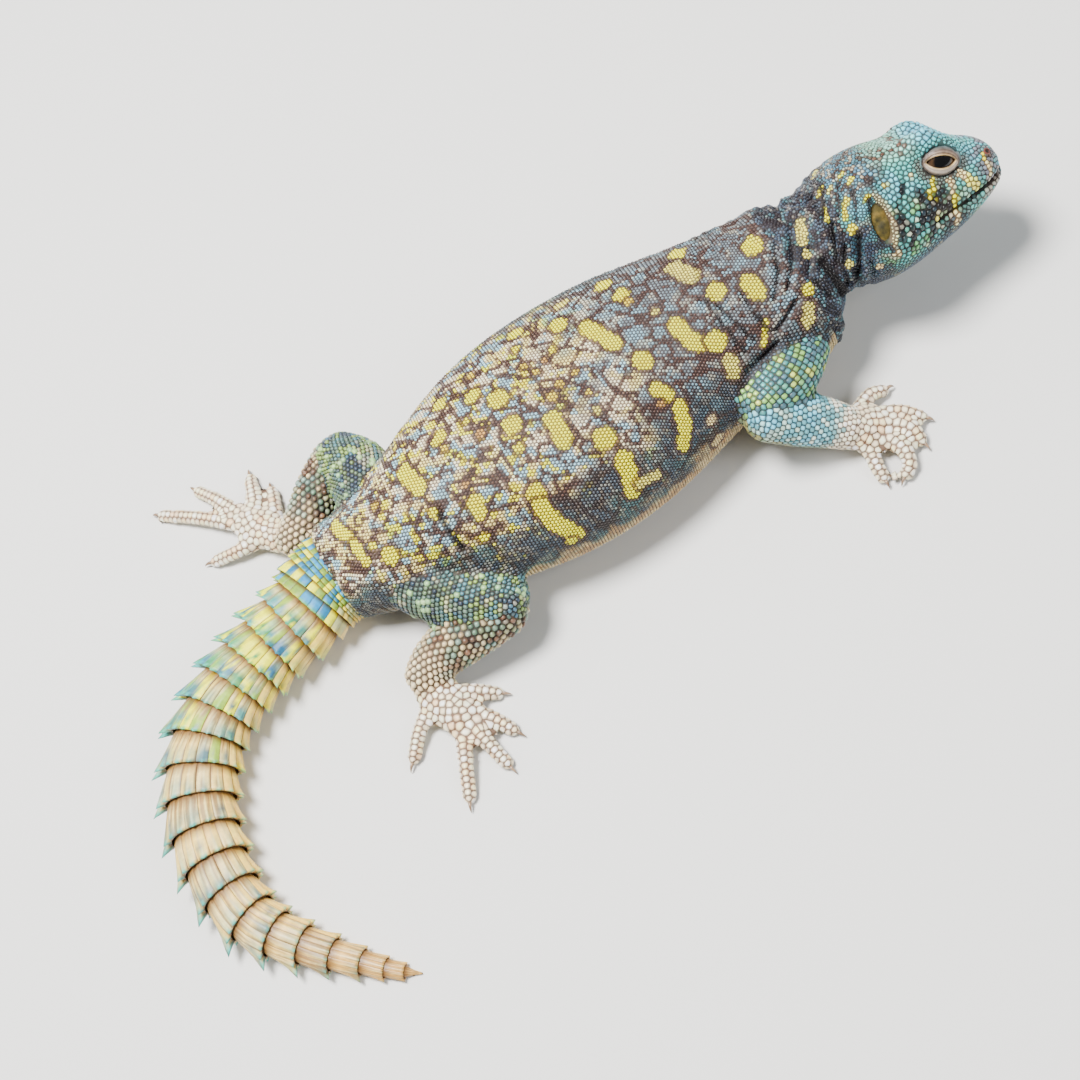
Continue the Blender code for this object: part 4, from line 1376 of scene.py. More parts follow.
def paintTorso(points, along, turn, scatter):
    top = np.sin(turn)
    jitter = jitterOf(scatter)
    patch = clouds(points, 9, 3)
    # Markings stretch along rows that slant down to the rear.
    slanted = np.stack([points[:, 0] * 0.75 + turn * 6.0, turn * 17.0, points[:, 2] * 0.3], axis=1)
    flank = blend(tones["flank"], tones["flankGrey"], rise(0.35, 0.7, patch))
    flank = blend(flank, tones["slate"] * 0.9, rise(0.5, 0.85, along) * 0.4)
    fleck = clouds(points, 2.0, 8) + jitter * 0.14
    flank = blend(flank, tones["bone"] * 0.75, rise(0.62, 0.74, fleck) * 0.5)
    net = netOf(slanted, torsoPlan["darkNet"], 9)
    flank = blend(flank, tones["umber"] * 0.8, rise(0.12, 0.05, net + jitter * 0.03) * 0.6)
    # The back's cells are pale behind and cool in front, between the brown lines of a net.
    pale = blend(tones["bone"] * 1.1, tones["straw"] * 1.05, rise(0.45, 0.65, clouds(points, 4.0, 12)))
    pale = blend(pale, tones["ice"], rise(0.56, 0.64, clouds(points, 3.6, 13) + jitter * 0.05) * 0.85)
    cool = blend(tones["coolGrey"], tones["coolBlue"], rise(0.45, 0.65, clouds(points, 3.0, 14)))
    cool = blend(cool, tones["bone"] * 0.9, rise(0.68, 0.76, clouds(points, 2.2, 17) + jitter * 0.08) * 0.5)
    cells = blend(pale, cool, rise(0.5, 0.72, along + (patch - 0.5) * 0.4) * 0.95)
    # Painted light: the back's cells are lighter where they face up and darker where the back turns down to
    # the sides.
    cells = cells * (0.78 + 0.22 * rise(0.35, 0.75, top))[:, None]
    flecks = rise(0.68, 0.72, clouds(points, 2.3, 15) + jitter * 0.05) * rise(0.7, 0.4, along)
    flecks = flecks * rise(0.05, 0.2, along)
    cells = blend(cells, tones["yellow"] * 0.97, flecks * torsoPlan["fleck"])
    width = torsoPlan["chainWidth"] + 0.1 * (clouds(points, 7.0, 23) - 0.5)
    chain = rise(width + 0.05, width - 0.05, netOf(slanted, torsoPlan["chainNet"], 21) + jitter * 0.05)
    cells = blend(cells, tones["chain"], chain * torsoPlan["chain"])
    rim = torsoPlan["rim"] + (clouds(points, 10, 31) - 0.5) * 0.5
    colour = blend(flank, cells, rise(rim - 0.16, rim + 0.2, top + jitter * 0.08))
    edge = top + (clouds(points, 4, 41) - 0.5) * 0.25 + jitter * 0.03
    belly = rise(0.03, -0.1, edge) * rise(0.02, 0.14, along) * torsoPlan["belly"]
    creamy = blend(tones["cream"] * 0.92, tones["tan"], rise(0.5, 0.7, clouds(points, 3, 42)) * 0.6)
    colour = blend(colour, creamy, belly)
    wobble = (clouds(points, 2.0, 51) - 0.5) * 1.0 + (scatter[:, 2] - 0.5) * 0.4
    return addMarks(colour, points, spotsOnBody, wobble, "chain")


def paintNeck(points, turn, scatter):
    top = np.sin(turn)
    jitter = jitterOf(scatter)
    colour = blend(tones["slate"] * 0.6, tones["greyBlue"] * 0.8, rise(0.42, 0.62, clouds(points, 3.2, 61)))
    net = rise(0.16, 0.08, netOf(points, 3.2, 63) + jitter * 0.03) * rise(0.2, 0.7, top)
    colour = layers(
        colour,
        ("teal", 0.9, rise(0.58, 0.7, clouds(points, 2.4, 62) + jitter * 0.06) * 0.8),
        ("neckNet", 1.0, net * 0.9),
        ("bone", 0.85, rise(0.7, 0.78, clouds(points, 1.8, 66) + jitter * 0.08) * 0.5),
    )
    wobble = (clouds(points, 1.4, 64) - 0.5) * 1.2
    colour = addMarks(colour, points, spotsOnBody + spotsOnNeck, wobble)
    return blend(colour, tones["cream"], rise(-0.62, -0.85, top) * 0.7)


def paintHead(points, scatter):
    local = toHead(points)
    x, turn = headZones(local)
    jitter = jitterOf(scatter)
    spot = clouds(points, 2.4, 71)
    fleck = clouds(points, 1.3, 72) + jitter * 0.12
    brow = hill(x, 17, 5.5) * rise(38, 58, turn)
    cheek = rise(18, 4, turn) * rise(-62, -38, turn) * rise(24, 18, x)
    lips = rise(-6, -16, turn) * rise(-50, -36, turn) * rise(11, 15, x)
    nape = rise(8, 1, x) * rise(18, 40, turn)
    crown = rise(1, 6, x) * rise(17, 11, x) * rise(38, 55, turn)
    cracks = rise(0.15, 0.07, netOf(points, 3.0, 74)) * rise(0.36, 0.5, clouds(points, 4.5, 75))
    temple = hill(x, 8, 5) * hill(turn, 22, 14)
    throat = rise(-40, -60, turn) * rise(0.55, 0.68, spot + jitter * 0.05)
    far, high = eyeDistance(local)
    fringe = rise(1.75, 1.35, earDistance(local)) * (local[:, 0] - earPlace["x"] > 0.4)
    colour = blend(tones["turquoise"], tones["sky"], rise(0.35, 0.7, clouds(points, 4.0, 73)) * 0.7)
    colour = blend(colour, tones["sky"], brow * 0.7)
    green = blend(tones["turquoise"] * 0.94, tones["leaf"] * 0.9, rise(0.45, 0.75, spot) * 0.55)
    colour = layers(
        blend(colour, green, cheek),
        ("slate", 0.55, cheek * rise(0.46, 0.64, clouds(points, 3.0, 78) + jitter * 0.1) * 0.85),
        ("bone", 1.0, cheek * rise(0.7, 0.78, fleck) * 0.7),
        ("snout", 1.0, rise(23, 28, x) * rise(0.35, 0.6, spot + jitter * 0.1) * 0.8),
        ("bone", 0.86, lips * rise(0.4, 0.65, spot) * 0.6),
        ("umber", 1.0, lips * rise(0.5, 0.35, spot) * 0.4),
        ("slate", 1.15, nape * 0.55),
        ("umber", 1.0, nape * rise(0.16, 0.08, netOf(points, 2.8, 79)) * 0.85),
        ("bone", 0.9, nape * rise(0.68, 0.76, fleck) * 0.7),
        ("crown", 1.0, crown * 0.65),
        ("brown", 1.0, cracks * crown * 0.9),
        ("slate", 1.0, rise(2, -5, x) * rise(20, 0, turn) * 0.7),
        ("temple", 1.0, temple * rise(0.4, 0.6, fleck) * 0.6),
        ("slate", 0.9, rise(-34, -56, turn) * rise(26, 18, x) * 0.8),
        ("cream", 0.8, throat * 0.7),
        # Painted shade: the socket tone darkens the hollow round the lower half of the eye.
        ("socket", 1.0, rise(1.6, 1.15, far) * rise(2.0, 0.0, high) * 0.75),
        ("turquoise", 0.9, rise(1.6, 1.1, far) * rise(0.5, 2.5, high) * 0.5),
        ("brown", 1.0, rise(1.7, 1.0, nostrilDistance(local)) * 0.8),
        ("cream", 1.02, fringe * 0.8),
    )
    wobble = (clouds(points, 1.0, 76) - 0.5) * 1.2
    colour = addMarks(colour, points, spotsOnHead + spotsOnNeck, wobble)
    return blend(colour, tones["umber"] * 0.6, rise(0.6, 0.3, mouthDistance(local)) * 0.9)


def paintLeg(points, name, along, turn, scatter):
    top = np.sin(turn)
    jitter = jitterOf(scatter)
    wide = clouds(points, 4.5, 81)
    patch = clouds(points, 2.0, 82) + jitter * 0.25
    if name.startswith("upper_arm"):
        colour = blend(tones["armTeal"], tones["armGreen"], rise(0.48, 0.66, patch) * 0.8)
        colour = layers(
            colour,
            ("lemon", 0.95, rise(0.78, 0.86, patch) * 0.6),
            ("greyBlue", 0.9, rise(0.4, 0.28, patch) * 0.6),
            ("slate", 0.8, rise(0.25, -0.1, along) * 0.8),
            # Painted shade: a darkened sage on the underside of the upper arm.
            ("sage", 0.65, rise(0.0, -0.6, top) * 0.7),
        )
    elif name.startswith("forearm"):
        colour = blend(tones["teal"] * 1.12, tones["sky"], rise(0.35, 0.7, patch) * 0.7)
        fleck = clouds(points, 1.6, 84) + jitter * 0.2
        colour = layers(
            colour,
            ("bone", 0.95, rise(0.55, 0.72, fleck) * 0.55),
            ("olive", 0.9, rise(0.15, -0.35, top + (wide - 0.5) * 0.5) * 0.55),
            ("blush", 1.0, rise(0.62, 0.95, along + (patch - 0.5) * 0.35)),
        )
    elif name.startswith("thigh"):
        colour = blend(tones["thigh"], tones["slate"] * 0.95, rise(0.45, 0.7, wide) * 0.75)
        knee = rise(0.35, 0.75, along)
        colour = layers(
            colour,
            ("kneeGreen", 1.0, rise(0.54, 0.68, patch) * (0.25 + 0.5 * knee)),
            ("sky", 0.82, rise(0.36, 0.26, patch) * (0.15 + 0.4 * knee)),
            ("bone", 0.9, rise(0.68, 0.78, clouds(points, 2.2, 83)) * 0.6),
        )
    else:
        colour = blend(tones["bone"] * [0.9, 0.88, 0.84], tones["teal"] * 0.9, rise(0.5, 0.72, patch) * 0.6)
        colour = blend(colour, tones["sage"] * 0.8, rise(0.5, 0.7, wide) * rise(0.8, 0.3, along) * 0.6)
        fleck = clouds(points, 1.6, 85) + jitter * 0.1
        colour = blend(colour, tones["umber"] * 1.3, rise(0.62, 0.7, fleck) * rise(1.0, 0.5, along) * 0.7)
        colour = blend(colour, tones["blush"] * [0.93, 0.92, 0.88], rise(0.5, 0.95, along) * 0.8)
    return colour


def paintFoot(points, scatter):
    patch = clouds(points, 2.2, 91) + (scatter[:, 0] - 0.5) * 0.4
    colour = blend(tones["blush"] * 1.02, tones["tan"] * 1.1, rise(0.6, 0.8, patch) * 0.35)
    return blend(colour, tones["bone"] * 1.08, rise(0.5, 0.3, patch) * 0.6)


def paintTail(points, scatter):
    patch = clouds(points, 4.0, 95) + (scatter[:, 0] - 0.5) * 0.3
    return blend(tones["bone"], tones["sky"], rise(0.45, 0.7, patch) * 0.7)


def paintAt(points, parts, along, turn, scatter):
    # The colour of any place on the skin, by the part that it belongs to.
    colour = np.zeros_like(points)
    for name in partNames:
        mine = parts == partOf[name]
        if not mine.any():
            continue
        some = points[mine]
        if name == "torso":
            colour[mine] = paintTorso(some, along[mine], turn[mine], scatter[mine])
        elif name == "neck":
            colour[mine] = paintNeck(some, turn[mine], scatter[mine])
        elif name == "head":
            colour[mine] = paintHead(some, scatter[mine])
        elif name == "tail":
            colour[mine] = paintTail(some, scatter[mine])
        elif name in legLines:
            colour[mine] = paintLeg(some, name, along[mine], turn[mine], scatter[mine])
        else:
            colour[mine] = paintFoot(some, scatter[mine])
    # Painted shade: black lines along the folds' creases, with the other dark lines towards the head.
    for radius, spots in creaseShadeAndDarkLines:
        near = distanceTo(points, spots) + (clouds(points, 1.5, 97) - 0.5) * 0.8
        colour = blend(colour, tones["black"], rise(radius + 0.5, radius - 0.5, near) * 0.9)
    return colour


def finishSkin():
    data = skinData
    data.vertices.foreach_set("co", toScene(skinPoints).ravel())
    data.update()
    along, turn = readLines(skinPoints, skinParts)[1:3]
    scatter = np.full((len(skinPoints), 3), 0.5)
    colour = paintAt(skinPoints, skinParts, along, turn, scatter)
    pale = np.isin(skinParts, [partOf[name] for name in (*feet, "tail")])[:, None]
    colour = np.where(pale, colour * 0.36 + tones["umber"] * 0.55, colour * 0.4 + tones["darkBrown"] * 0.42)
    setPaint(data, colour)
    data.name = "skin"
    made = linkObject(data, "skin", coatFinish("skin between the scales", 0.62, 0.3, 2600, 0.00008))
    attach(made, "root")
    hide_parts(*fleshNodes)


finishSkin()
print("skin painted")

# Each scale's rings are a share of its outline and a height, in its own size. Rim is how dark the painted
# shade at its edge is, as a share of the scale's colour.
scaleForms = {
    "bead": {
        "corners": 6, "rings": [(1.0, -0.14), (0.78, 0.19)], "peak": 0.26, "gap": 0.05, "lean": 0.06,
        "rim": 0.52, "cap": 0.7,
    },
    "plate": {
        "corners": 10, "rings": [(1.0, -0.12), (0.87, 0.11), (0.5, 0.18)], "peak": 0.2, "gap": 0.05,
        "lean": 0.03, "rim": 0.4, "cap": 0.8,
    },
    "flag": {
        "corners": 10, "rings": [(1.0, -0.06), (0.9, 0.1), (0.5, 0.13)], "peak": 0.14, "gap": 0.04,
        "lean": 0.07, "rim": 0.6, "cap": 0.95,
    },
    "knob": {
        "corners": 9, "rings": [(1.0, -0.12), (0.88, 0.14), (0.55, 0.3)], "peak": 0.37, "gap": 0.05,
        "lean": 0.08, "rim": 0.45, "cap": 0.8,
    },
}


def scaleForm(form):
    # One scale: its outline is drawn in by rings to a low peak.
    mesh = bmesh.new()
    corners = form["corners"]
    loop = list(bmesh.ops.create_circle(mesh, cap_ends=False, radius=1.0, segments=corners)["verts"])
    for vertex in loop:
        vertex.co.z = form["rings"][0][1]
    edges = mesh.edges[:]
    for share, height in form["rings"][1:]:
        made = bmesh.ops.extrude_edge_only(mesh, edges=edges)["geom"]
        fresh = [v for v in made if isinstance(v, bmesh.types.BMVert)]
        edges = [e for e in made if isinstance(e, bmesh.types.BMEdge) and all(v in fresh for v in e.verts)]
        for vertex in fresh:
            flat = Vector((vertex.co.x, vertex.co.y, 0)).normalized() * share
            vertex.co = (flat.x, flat.y, height)
    cap = bmesh.ops.edgeloop_fill(mesh, edges=edges)["faces"]
    centre = bmesh.ops.poke(mesh, faces=cap)["verts"][0]
    centre.co = (0, 0, form["peak"])
    bmesh.ops.triangulate(mesh, faces=mesh.faces[:])
    bmesh.ops.recalc_face_normals(mesh, faces=mesh.faces[:])
    if mesh.faces[0].normal.z < 0:
        bmesh.ops.reverse_faces(mesh, faces=mesh.faces[:])
    mesh.verts.index_update()
    points, faces = readMesh(mesh)
    mesh.free()
    return points, np.array(faces)


gapPlan = {"head": 0.015, "cheek": 0.085, "temple": 0.06, "shin": 0.08}


def widerGap(picked):
    # Dark skin shows more between the scales of the cheek, the temple and the shin.
    x, turn = headZones(toHead(seedPoints[picked]))
    cheek = rise(20, 5, turn) * rise(-62, -40, turn) * rise(24, 18, x) * rise(-4, 2, x)
    temple = rise(0, 15, turn) * rise(45, 30, turn) * rise(15, 9, x)
    shin = np.isin(seedParts[picked], [partOf["shin_r"], partOf["shin_l"]])
    onHead = gapPlan["head"] + gapPlan["cheek"] * cheek + gapPlan["temple"] * temple
    return np.where(seedParts[picked] == partOf["head"], onHead, gapPlan["shin"] * shin)


def patchOf(picked, shape):
    # Where each scale lies in the OFBake UV map: along its part by its turn round it.
    along = seedAlong[picked]
    parts = seedParts[picked]
    u = (parts + along.clip(0, 1) * 0.94 + 0.03) / len(partNames)
    if (parts == parts[0]).all():
        low, high = along.min(), along.max()
        u = 0.01 + 0.98 * (along - low) / max(high - low, 1e-6)
    v = 0.01 + 0.98 * ((seedTurn[picked] + math.pi / 2) / (2 * math.pi) % 1.0)
    patch = np.empty((len(picked), len(shape), 2))
    patch[:, :, 0] = u[:, None] + 0.0015 * shape[None, :, 0]
    patch[:, :, 1] = v[:, None] + 0.0015 * shape[None, :, 1]
    return patch


def growScales(name, picked, formName, swell=None):
    # Every scale's outline is cut where its neighbours' begin, and it leans to the rear.
    form = scaleForms[formName]
    shape, faces = scaleForm(form)
    share = np.hypot(shape[:, 0], shape[:, 1])
    angle = np.arctan2(shape[:, 1], shape[:, 0])
    spot = seedPoints[picked]
    normal = seedNormals[picked]
    way = unit(seedWay[picked] - (seedWay[picked] * normal).sum(axis=1, keepdims=True) * normal)
    side = np.cross(normal, way)
    near = neighboursOf(seedPoints, picked, 9)
    offset = seedPoints[near] - spot[:, None]
    gone = np.linalg.norm(offset, axis=2)
    heading = np.arctan2((offset * side[:, None]).sum(axis=2), (offset * way[:, None]).sum(axis=2))
    bend = (offset * normal[:, None]).sum(axis=2) / gone**2
    pitch = seedPitch[picked]
    part = pitch[:, None] / (pitch[:, None] + seedPitch[near])
    turned = np.cos(angle[None, :, None] - heading[:, None, :])
    toEdge = gone[:, None, :] * part[:, None, :] / np.maximum(turned, 0.15)
    edge = np.where(turned > 0.15, toEdge, outOfReach)
    nearest = edge.argmin(axis=2)
    radius = np.minimum(edge.min(axis=2), pitch[:, None] * form["cap"])
    radius = np.maximum(radius - form["gap"] - widerGap(picked)[:, None], 0.12)
    if swell is not None:
        radius = radius * swell[:, None]
    height = shape[:, 2][None] * np.minimum(pitch, radius.mean(axis=1) * 2.2)[:, None]
    if swell is not None:
        height = height * swell[:, None]
    height = height + np.clip(np.take_along_axis(bend, nearest, axis=1), -0.35, 0.1) * (radius * share) ** 2
    height = height + form["lean"] * pitch[:, None] * np.cos(angle)[None] * share[None]
    ahead = way[:, None] * (np.cos(angle) * share)[None, :, None]
    flat = ahead + side[:, None] * (np.sin(angle) * share)[None, :, None]
    points = spot[:, None] + flat * radius[:, :, None] + normal[:, None] * height[:, :, None]
    scatter = dice.random((len(picked), 3))
    colour = paintAt(spot, seedParts[picked], seedAlong[picked], seedTurn[picked], scatter)
    colour = colour * (0.88 + 0.22 * scatter[:, :1])
    if swell is not None:
        colour = blend(colour, tones["tubercle"], (swell > 1.3) * 0.7)
    # Painted light: each scale's colour is raised towards its crown as a painted highlight and lowered
    # towards its edge as painted shade.
    level = np.interp(share, [0.0, 0.5, 0.84, 1.0], [1.12, 1.06, 0.94, form["rim"]])
    paint = colour[:, None] * level[None, :, None]
    patch = patchOf(picked, shape)
    allFaces = (faces[None] + (np.arange(len(picked)) * len(shape))[:, None, None]).reshape(-1, 3)
    rows = [values.reshape(-1, values.shape[-1]) for values in (points, paint, patch)]
    made = meshFromArrays(name, rows[0], allFaces, rows[1], rows[2], scaleFinish)
    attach(made, "root")
    print(name, len(picked), "scales", len(allFaces), "triangles")


scaleFinish = coatFinish("scale horn", 0.34, 0.5, 1500, 0.00003)


def seedsOf(*names):
    return np.nonzero(np.isin(seedParts, [partOf[name] for name in names]))[0]


def bareSpots(points):
    # The eyes, ears, nostrils and the line of the mouth stay bare of scales.
    local = toHead(points)
    bare = (eyeDistance(local)[0] < 0.97) | (earDistance(local) < 1.0) | (nostrilDistance(local) < 0.9)
    return bare | (mouthDistance(local) < mouthPlan["bare"] * 0.8)


def growInShares(label, seeds, order, count, formName):
    # One long row of scales in several pieces, so that none has too many triangles.
    for number, some in enumerate(np.array_split(seeds[np.argsort(order)], count)):
        growScales("%s_%d" % (label, number + 1), some, formName)


torsoSeeds = seedsOf("torso")
growInShares("body_scales", torsoSeeds, seedAlong[torsoSeeds], 4, "bead")
growScales("neck_scales", seedsOf("neck"), "bead")
headSeeds = seedsOf("head")
headSeeds = headSeeds[~bareSpots(seedPoints[headSeeds])]
growInShares("head_scales", headSeeds, toHead(seedPoints[headSeeds])[:, 0], 2, "plate")
armSeeds = seedsOf("upper_arm_r", "forearm_r", "upper_arm_l", "forearm_l")
growScales("arm_scales", armSeeds, "plate")
legSeeds = seedsOf("thigh_r", "shin_r", "thigh_l", "shin_l")
# A few tubercles stand out on the thighs.
legPlan = {"tubercles": 0.07, "swell": 1.55, "plain": (0.92, 1.08)}
onThigh = np.isin(seedParts[legSeeds], [partOf["thigh_r"], partOf["thigh_l"]])
tubercle = (dice.random(len(legSeeds)) < legPlan["tubercles"]) & onThigh
legSwell = np.where(tubercle, legPlan["swell"], dice.uniform(*legPlan["plain"], len(legSeeds)))
growScales("leg_scales", legSeeds, "knob", legSwell)
growScales("foot_scales", seedsOf(*feet), "flag")

# The tail's plates stand in whorls: first and last place, number, spines and relief of the root's rows,
# then how many plates a whorl has below a place.
scutePlan = {
    "across": (-1.0, -0.86, -0.6, -0.25, 0.0, 0.25, 0.6, 0.86, 1.0),
    "long": (-0.07, 0.1, 0.4, 0.68, 0.88, 1.0, 1.015),
    "leftSpine": 3.3,
    "rightSpine": 1.3,
    "topSpine": 0.45,
    "keel": 0.3,
    "front": 0.87,
    "rear": 1.035,
    "seam": 0.12,
    "tipBlunt": 0.55,
    "smallRows": 4,
    "rootRows": [(0.94, 1.45, 28, 0.1, 0.4), (1.45, 2.0, 24, 0.25, 0.55)],
    "plates": [(9, 20), (17, 16), (len(whorls), 12)],
}


def scuteGrid():
    # A flat plate with its rows and columns where the keel and the rear edge need them.
    mesh = bmesh.new()
    rows = len(scutePlan["long"])
    columns = len(scutePlan["across"])
    bmesh.ops.create_grid(mesh, x_segments=rows - 1, y_segments=columns - 1, size=1.0)
    mesh.verts.index_update()
    points, faces = readMesh(mesh)
    mesh.free()
    along = np.rint((points[:, 0] + 1) / 2 * (rows - 1)).astype(int)
    across = np.rint((points[:, 1] + 1) / 2 * (columns - 1)).astype(int)
    long = np.array(scutePlan["long"])[along]
    return long, np.array(scutePlan["across"])[across], along == rows - 1, np.array(faces)


def scuteRow(first, last, count, spines, store, relief=1.0):
    # One whorl of plates, with spines at its rear edge that are longest on the sides.
    long, across, under, faces = scuteGrid()
    end = len(whorls) - 1
    topSpine = scutePlan["topSpine"]
    for number in range(count):
        middle = math.pi / 2 + 2 * math.pi * number / count + dice.normal(0, 0.006)
        width = math.pi / count * (1.03 + dice.normal(0, 0.01))
        size = float(smooth(whorls, [(first + last) / 2])[0, 2]) / 10.0
        lift = math.sin(middle)
        flank = abs(math.cos(middle))
        above = float(rise(-0.75, -0.1, lift))
        left = math.cos(middle) < 0
        side = scutePlan["leftSpine"] if left else scutePlan["rightSpine"]
        sharp = (topSpine + (side - topSpine) * flank**16) * size**0.7 * above * spines
        sharp *= (1 + dice.normal(0, 0.1)) * (1 - scutePlan["tipBlunt"] * float(rise(15.5, 18.5, first)))
        part = np.clip(long, 0, 1)
        front = 1 - (1 - scutePlan["front"]) * relief
        rear = 1 + (scutePlan["rear"] - 1) * relief - (0.95 if last >= end else 0)
        grow = front + (rear - front) * part**0.8
        ridge = np.clip(1 - np.abs(across) / 0.85, 0, 1)
        crown = (1 - across**2) * (0.16 + 0.3 * (relief < 0.5)) * size * rise(0.0, 0.3, part)
        crown = crown * (0.4 + 0.6 * relief)
        keel = scutePlan["keel"] * (1 + flank**4) * size * ridge**1.4 * part**1.6
        keel = keel * (0.35 + 0.65 * above) * relief
        shoulder = np.where(np.abs(across) < 0.7, 0.2 * flank**6, 0.0)
        wide = np.where(np.abs(across) < 0.4, 0.14 + 0.42 * flank**4, shoulder)
        peak = np.where(across == 0, 1.0, wide)
        reach = np.clip((part - 0.55) / 0.45, 0, 1) * peak * sharp
        seam = scutePlan["seam"] * size * (np.abs(across) == 1)
        outward = crown + keel + reach * (0.3 + 0.52 * flank) - seam
        outward = np.where(long < 0, -0.35 * size * relief, outward)
        backward = reach * (0.7 if flank > 0.7 else 0.95)
        outward = np.where(under, np.minimum(outward * 0.15, 0) - 0.75 * size * relief - 0.05, outward)
        backward = np.where(under, backward * 0.1 - 0.1, backward)
        place = first + (last - first) * long
        points = tailPlace(place, middle + across * width, grow, outward, backward)
        store["faces"].append(faces + sum(len(p) for p in store["points"]))
        store["points"].append(points)
        store["paint"].append(paintScute(points, part, across, under, lift, left, first, relief))
        inner = first + (last - first) * (0.05 + 0.9 * part)
        u = 0.01 + 0.98 * (np.clip(inner, 0, len(whorls)) / len(whorls))
        v = ((middle + across * width * 0.94) / (2 * math.pi)) % 1.0
        if v.max() - v.min() > 0.5:
            v = np.where(v < 0.5, v + 1.0, v)
        store["patch"].append(np.stack([u, 0.01 + 0.45 * v], axis=1))


scuteTones = {
    "bases": [(238, 218, 172), (240, 226, 196)],
    "aged": (190, 160, 118),
    "streak": (146, 124, 98),
    # ridge is a painted highlight along each keel.
    "ridge": (250, 244, 226),
    "deeps": [(52, 118, 164), (66, 140, 160), (74, 150, 124)],
    "steel": (112, 148, 170),
    "small": (62, 136, 168),
    "tip": (112, 196, 208),
    "seam": (102, 82, 62),
    # front is painted shadow on each plate under the lip of the whorl before it.
    "front": (100, 80, 60),
    "warmth": (1.0, 0.982, 0.9),
}
scuteTones = {name: np.array(value, dtype=float) for name, value in scuteTones.items()}


def paintScute(points, part, across, under, lift, left, first, relief):
    # Horn in ivory and blue, duller to the tail's end, with dark seams, a painted highlight along each keel
    # and painted shadow under the lip of each whorl.
    full = np.ones(len(points))
    ageing = float(rise(13, 19, first))
    nearBase = float(rise(9.5, 4.5, first))
    base = scuteTones["bases"][0 if dice.random() < 0.55 else 1]
    colour = blend(base * dice.uniform(0.93, 1.05), scuteTones["aged"], full * 0.75 * ageing)
    streaks = clouds(np.stack([across * 9, part * 2, full * first * 3], axis=1), 1.6, 113)
    colour = blend(colour, scuteTones["streak"], rise(0.44, 0.72, streaks) * 0.8)
    # Painted highlight: a pale line along each plate's keel.
    colour = blend(colour, scuteTones["ridge"], (across == 0) * rise(0.1, 0.5, part) * 0.6)
    blue = dice.uniform(0.35, 1.0) * (1 - ageing * 0.85)
    rearPart = rise(0.22, 0.7, part) * (1 - 0.35 * np.abs(across + 0.25))
    patch = clouds(points, 2.4, 111)
    deep = scuteTones["deeps"][int(dice.integers(0, 3))]
    shade = deep * nearBase + scuteTones["steel"] * (1 - nearBase)
    strength = blue * (0.45 + 0.9 * patch) * (0.5 + 1.05 * nearBase)
    colour = blend(colour, shade, np.clip(rearPart * strength, 0, 0.95))
    colour = blend(colour, tones["slate"] * 1.2, rearPart * rise(0.55, 0.8, patch) * 0.45 * (1 - ageing))
    if dice.random() < nearBase * 0.6 and lift > -0.1:
        warm = [tones["yellow"], tones["yellow"], tones["leaf"]][int(dice.integers(0, 3))]
        colour = blend(colour, warm, rise(0.44, 0.62, clouds(points, 2.0, 112 + int(first))) * 0.9)
    if relief < 0.6:
        # The small plates at the root are blue or green, with some yellow ones.
        cell = tones["leaf"] * 0.85
        if dice.random() < 0.75:
            cell = scuteTones["small"] * dice.uniform(0.85, 1.15)
        if dice.random() < 0.15:
            cell = tones["yellow"]
        colour = blend(cell, tones["yellow"] * 0.9, rise(0.8, 1.0, part) * 0.5)
        colour = blend(colour, tones["cream"], full * float(rise(0.2, -0.5, lift)))
    if not left and lift < 0.45:
        colour = blend(colour, tones["ivory"] * 1.03, full * 0.7)
    tip = rise(0.84, 1.0, part) * (np.abs(across) < 0.35)
    colour = blend(colour, scuteTones["tip"], tip * (0.8 if left else 0.45) * (1 - ageing) * (relief > 0.6))
    colour = blend(colour, scuteTones["seam"], (np.abs(across) == 1) * 0.9)
    # Painted shadow: the front of each plate, under the lip of the whorl before it, is painted dark.
    colour = blend(colour, scuteTones["front"], rise(0.3, 0.0, part) * 0.9)
    colour = colour * (scuteTones["warmth"] if relief > 0.6 else 1.0)
    # Painted shade: the tucked-under row of each plate's rear lip is painted brown.
    return blend(colour, tones["brown"] * 1.2, under * 0.7)


def buildTail():
    store = {"points": [], "faces": [], "paint": [], "patch": []}
    rows = scutePlan["smallRows"]
    for k in range(rows):
        scuteRow(k / rows - 0.06, (k + 1) / rows - 0.06, 38, 0.0, store, 0.28)
    for first, last, count, spines, relief in scutePlan["rootRows"]:
        scuteRow(first, last, count, spines, store, relief)
    for k in range(2, len(whorls) - 1):
        count = [plates for below, plates in scutePlan["plates"] if k < below][0]
        scuteRow(k, k + 1, count, 0.55 if k == 2 else 1.0, store)
    points, faces, paint, patch = (np.concatenate(parts) for parts in store.values())
    made = meshFromArrays("tail_scutes", points, faces, paint, patch, hornFinish)
    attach(made, "root")
    print("tail", len(faces) * 2, "triangles")


hornFinish = coatFinish("scute horn", 0.45, 0.5, 1100, 0.00006)
buildTail()

# Eyes and lids. The stops run from the eye's rim to the middle of its pupil.
eyePlan = {
    "segments": 56,
    "gaze": (0.06, 1.0, -0.02),
    "stops": [
        (0.0, (46, 32, 26)), (0.72, (54, 36, 24)), (0.8, (62, 44, 28)), (0.87, (40, 28, 18)),
        (0.892, (5, 4, 4)), (1.0, (3, 3, 3)),
    ],
}
lidPlan = {"steps": 64, "sharp": 1.55, "overSkin": {9: 0.3, 10: 0.17, 11: -0.4}}
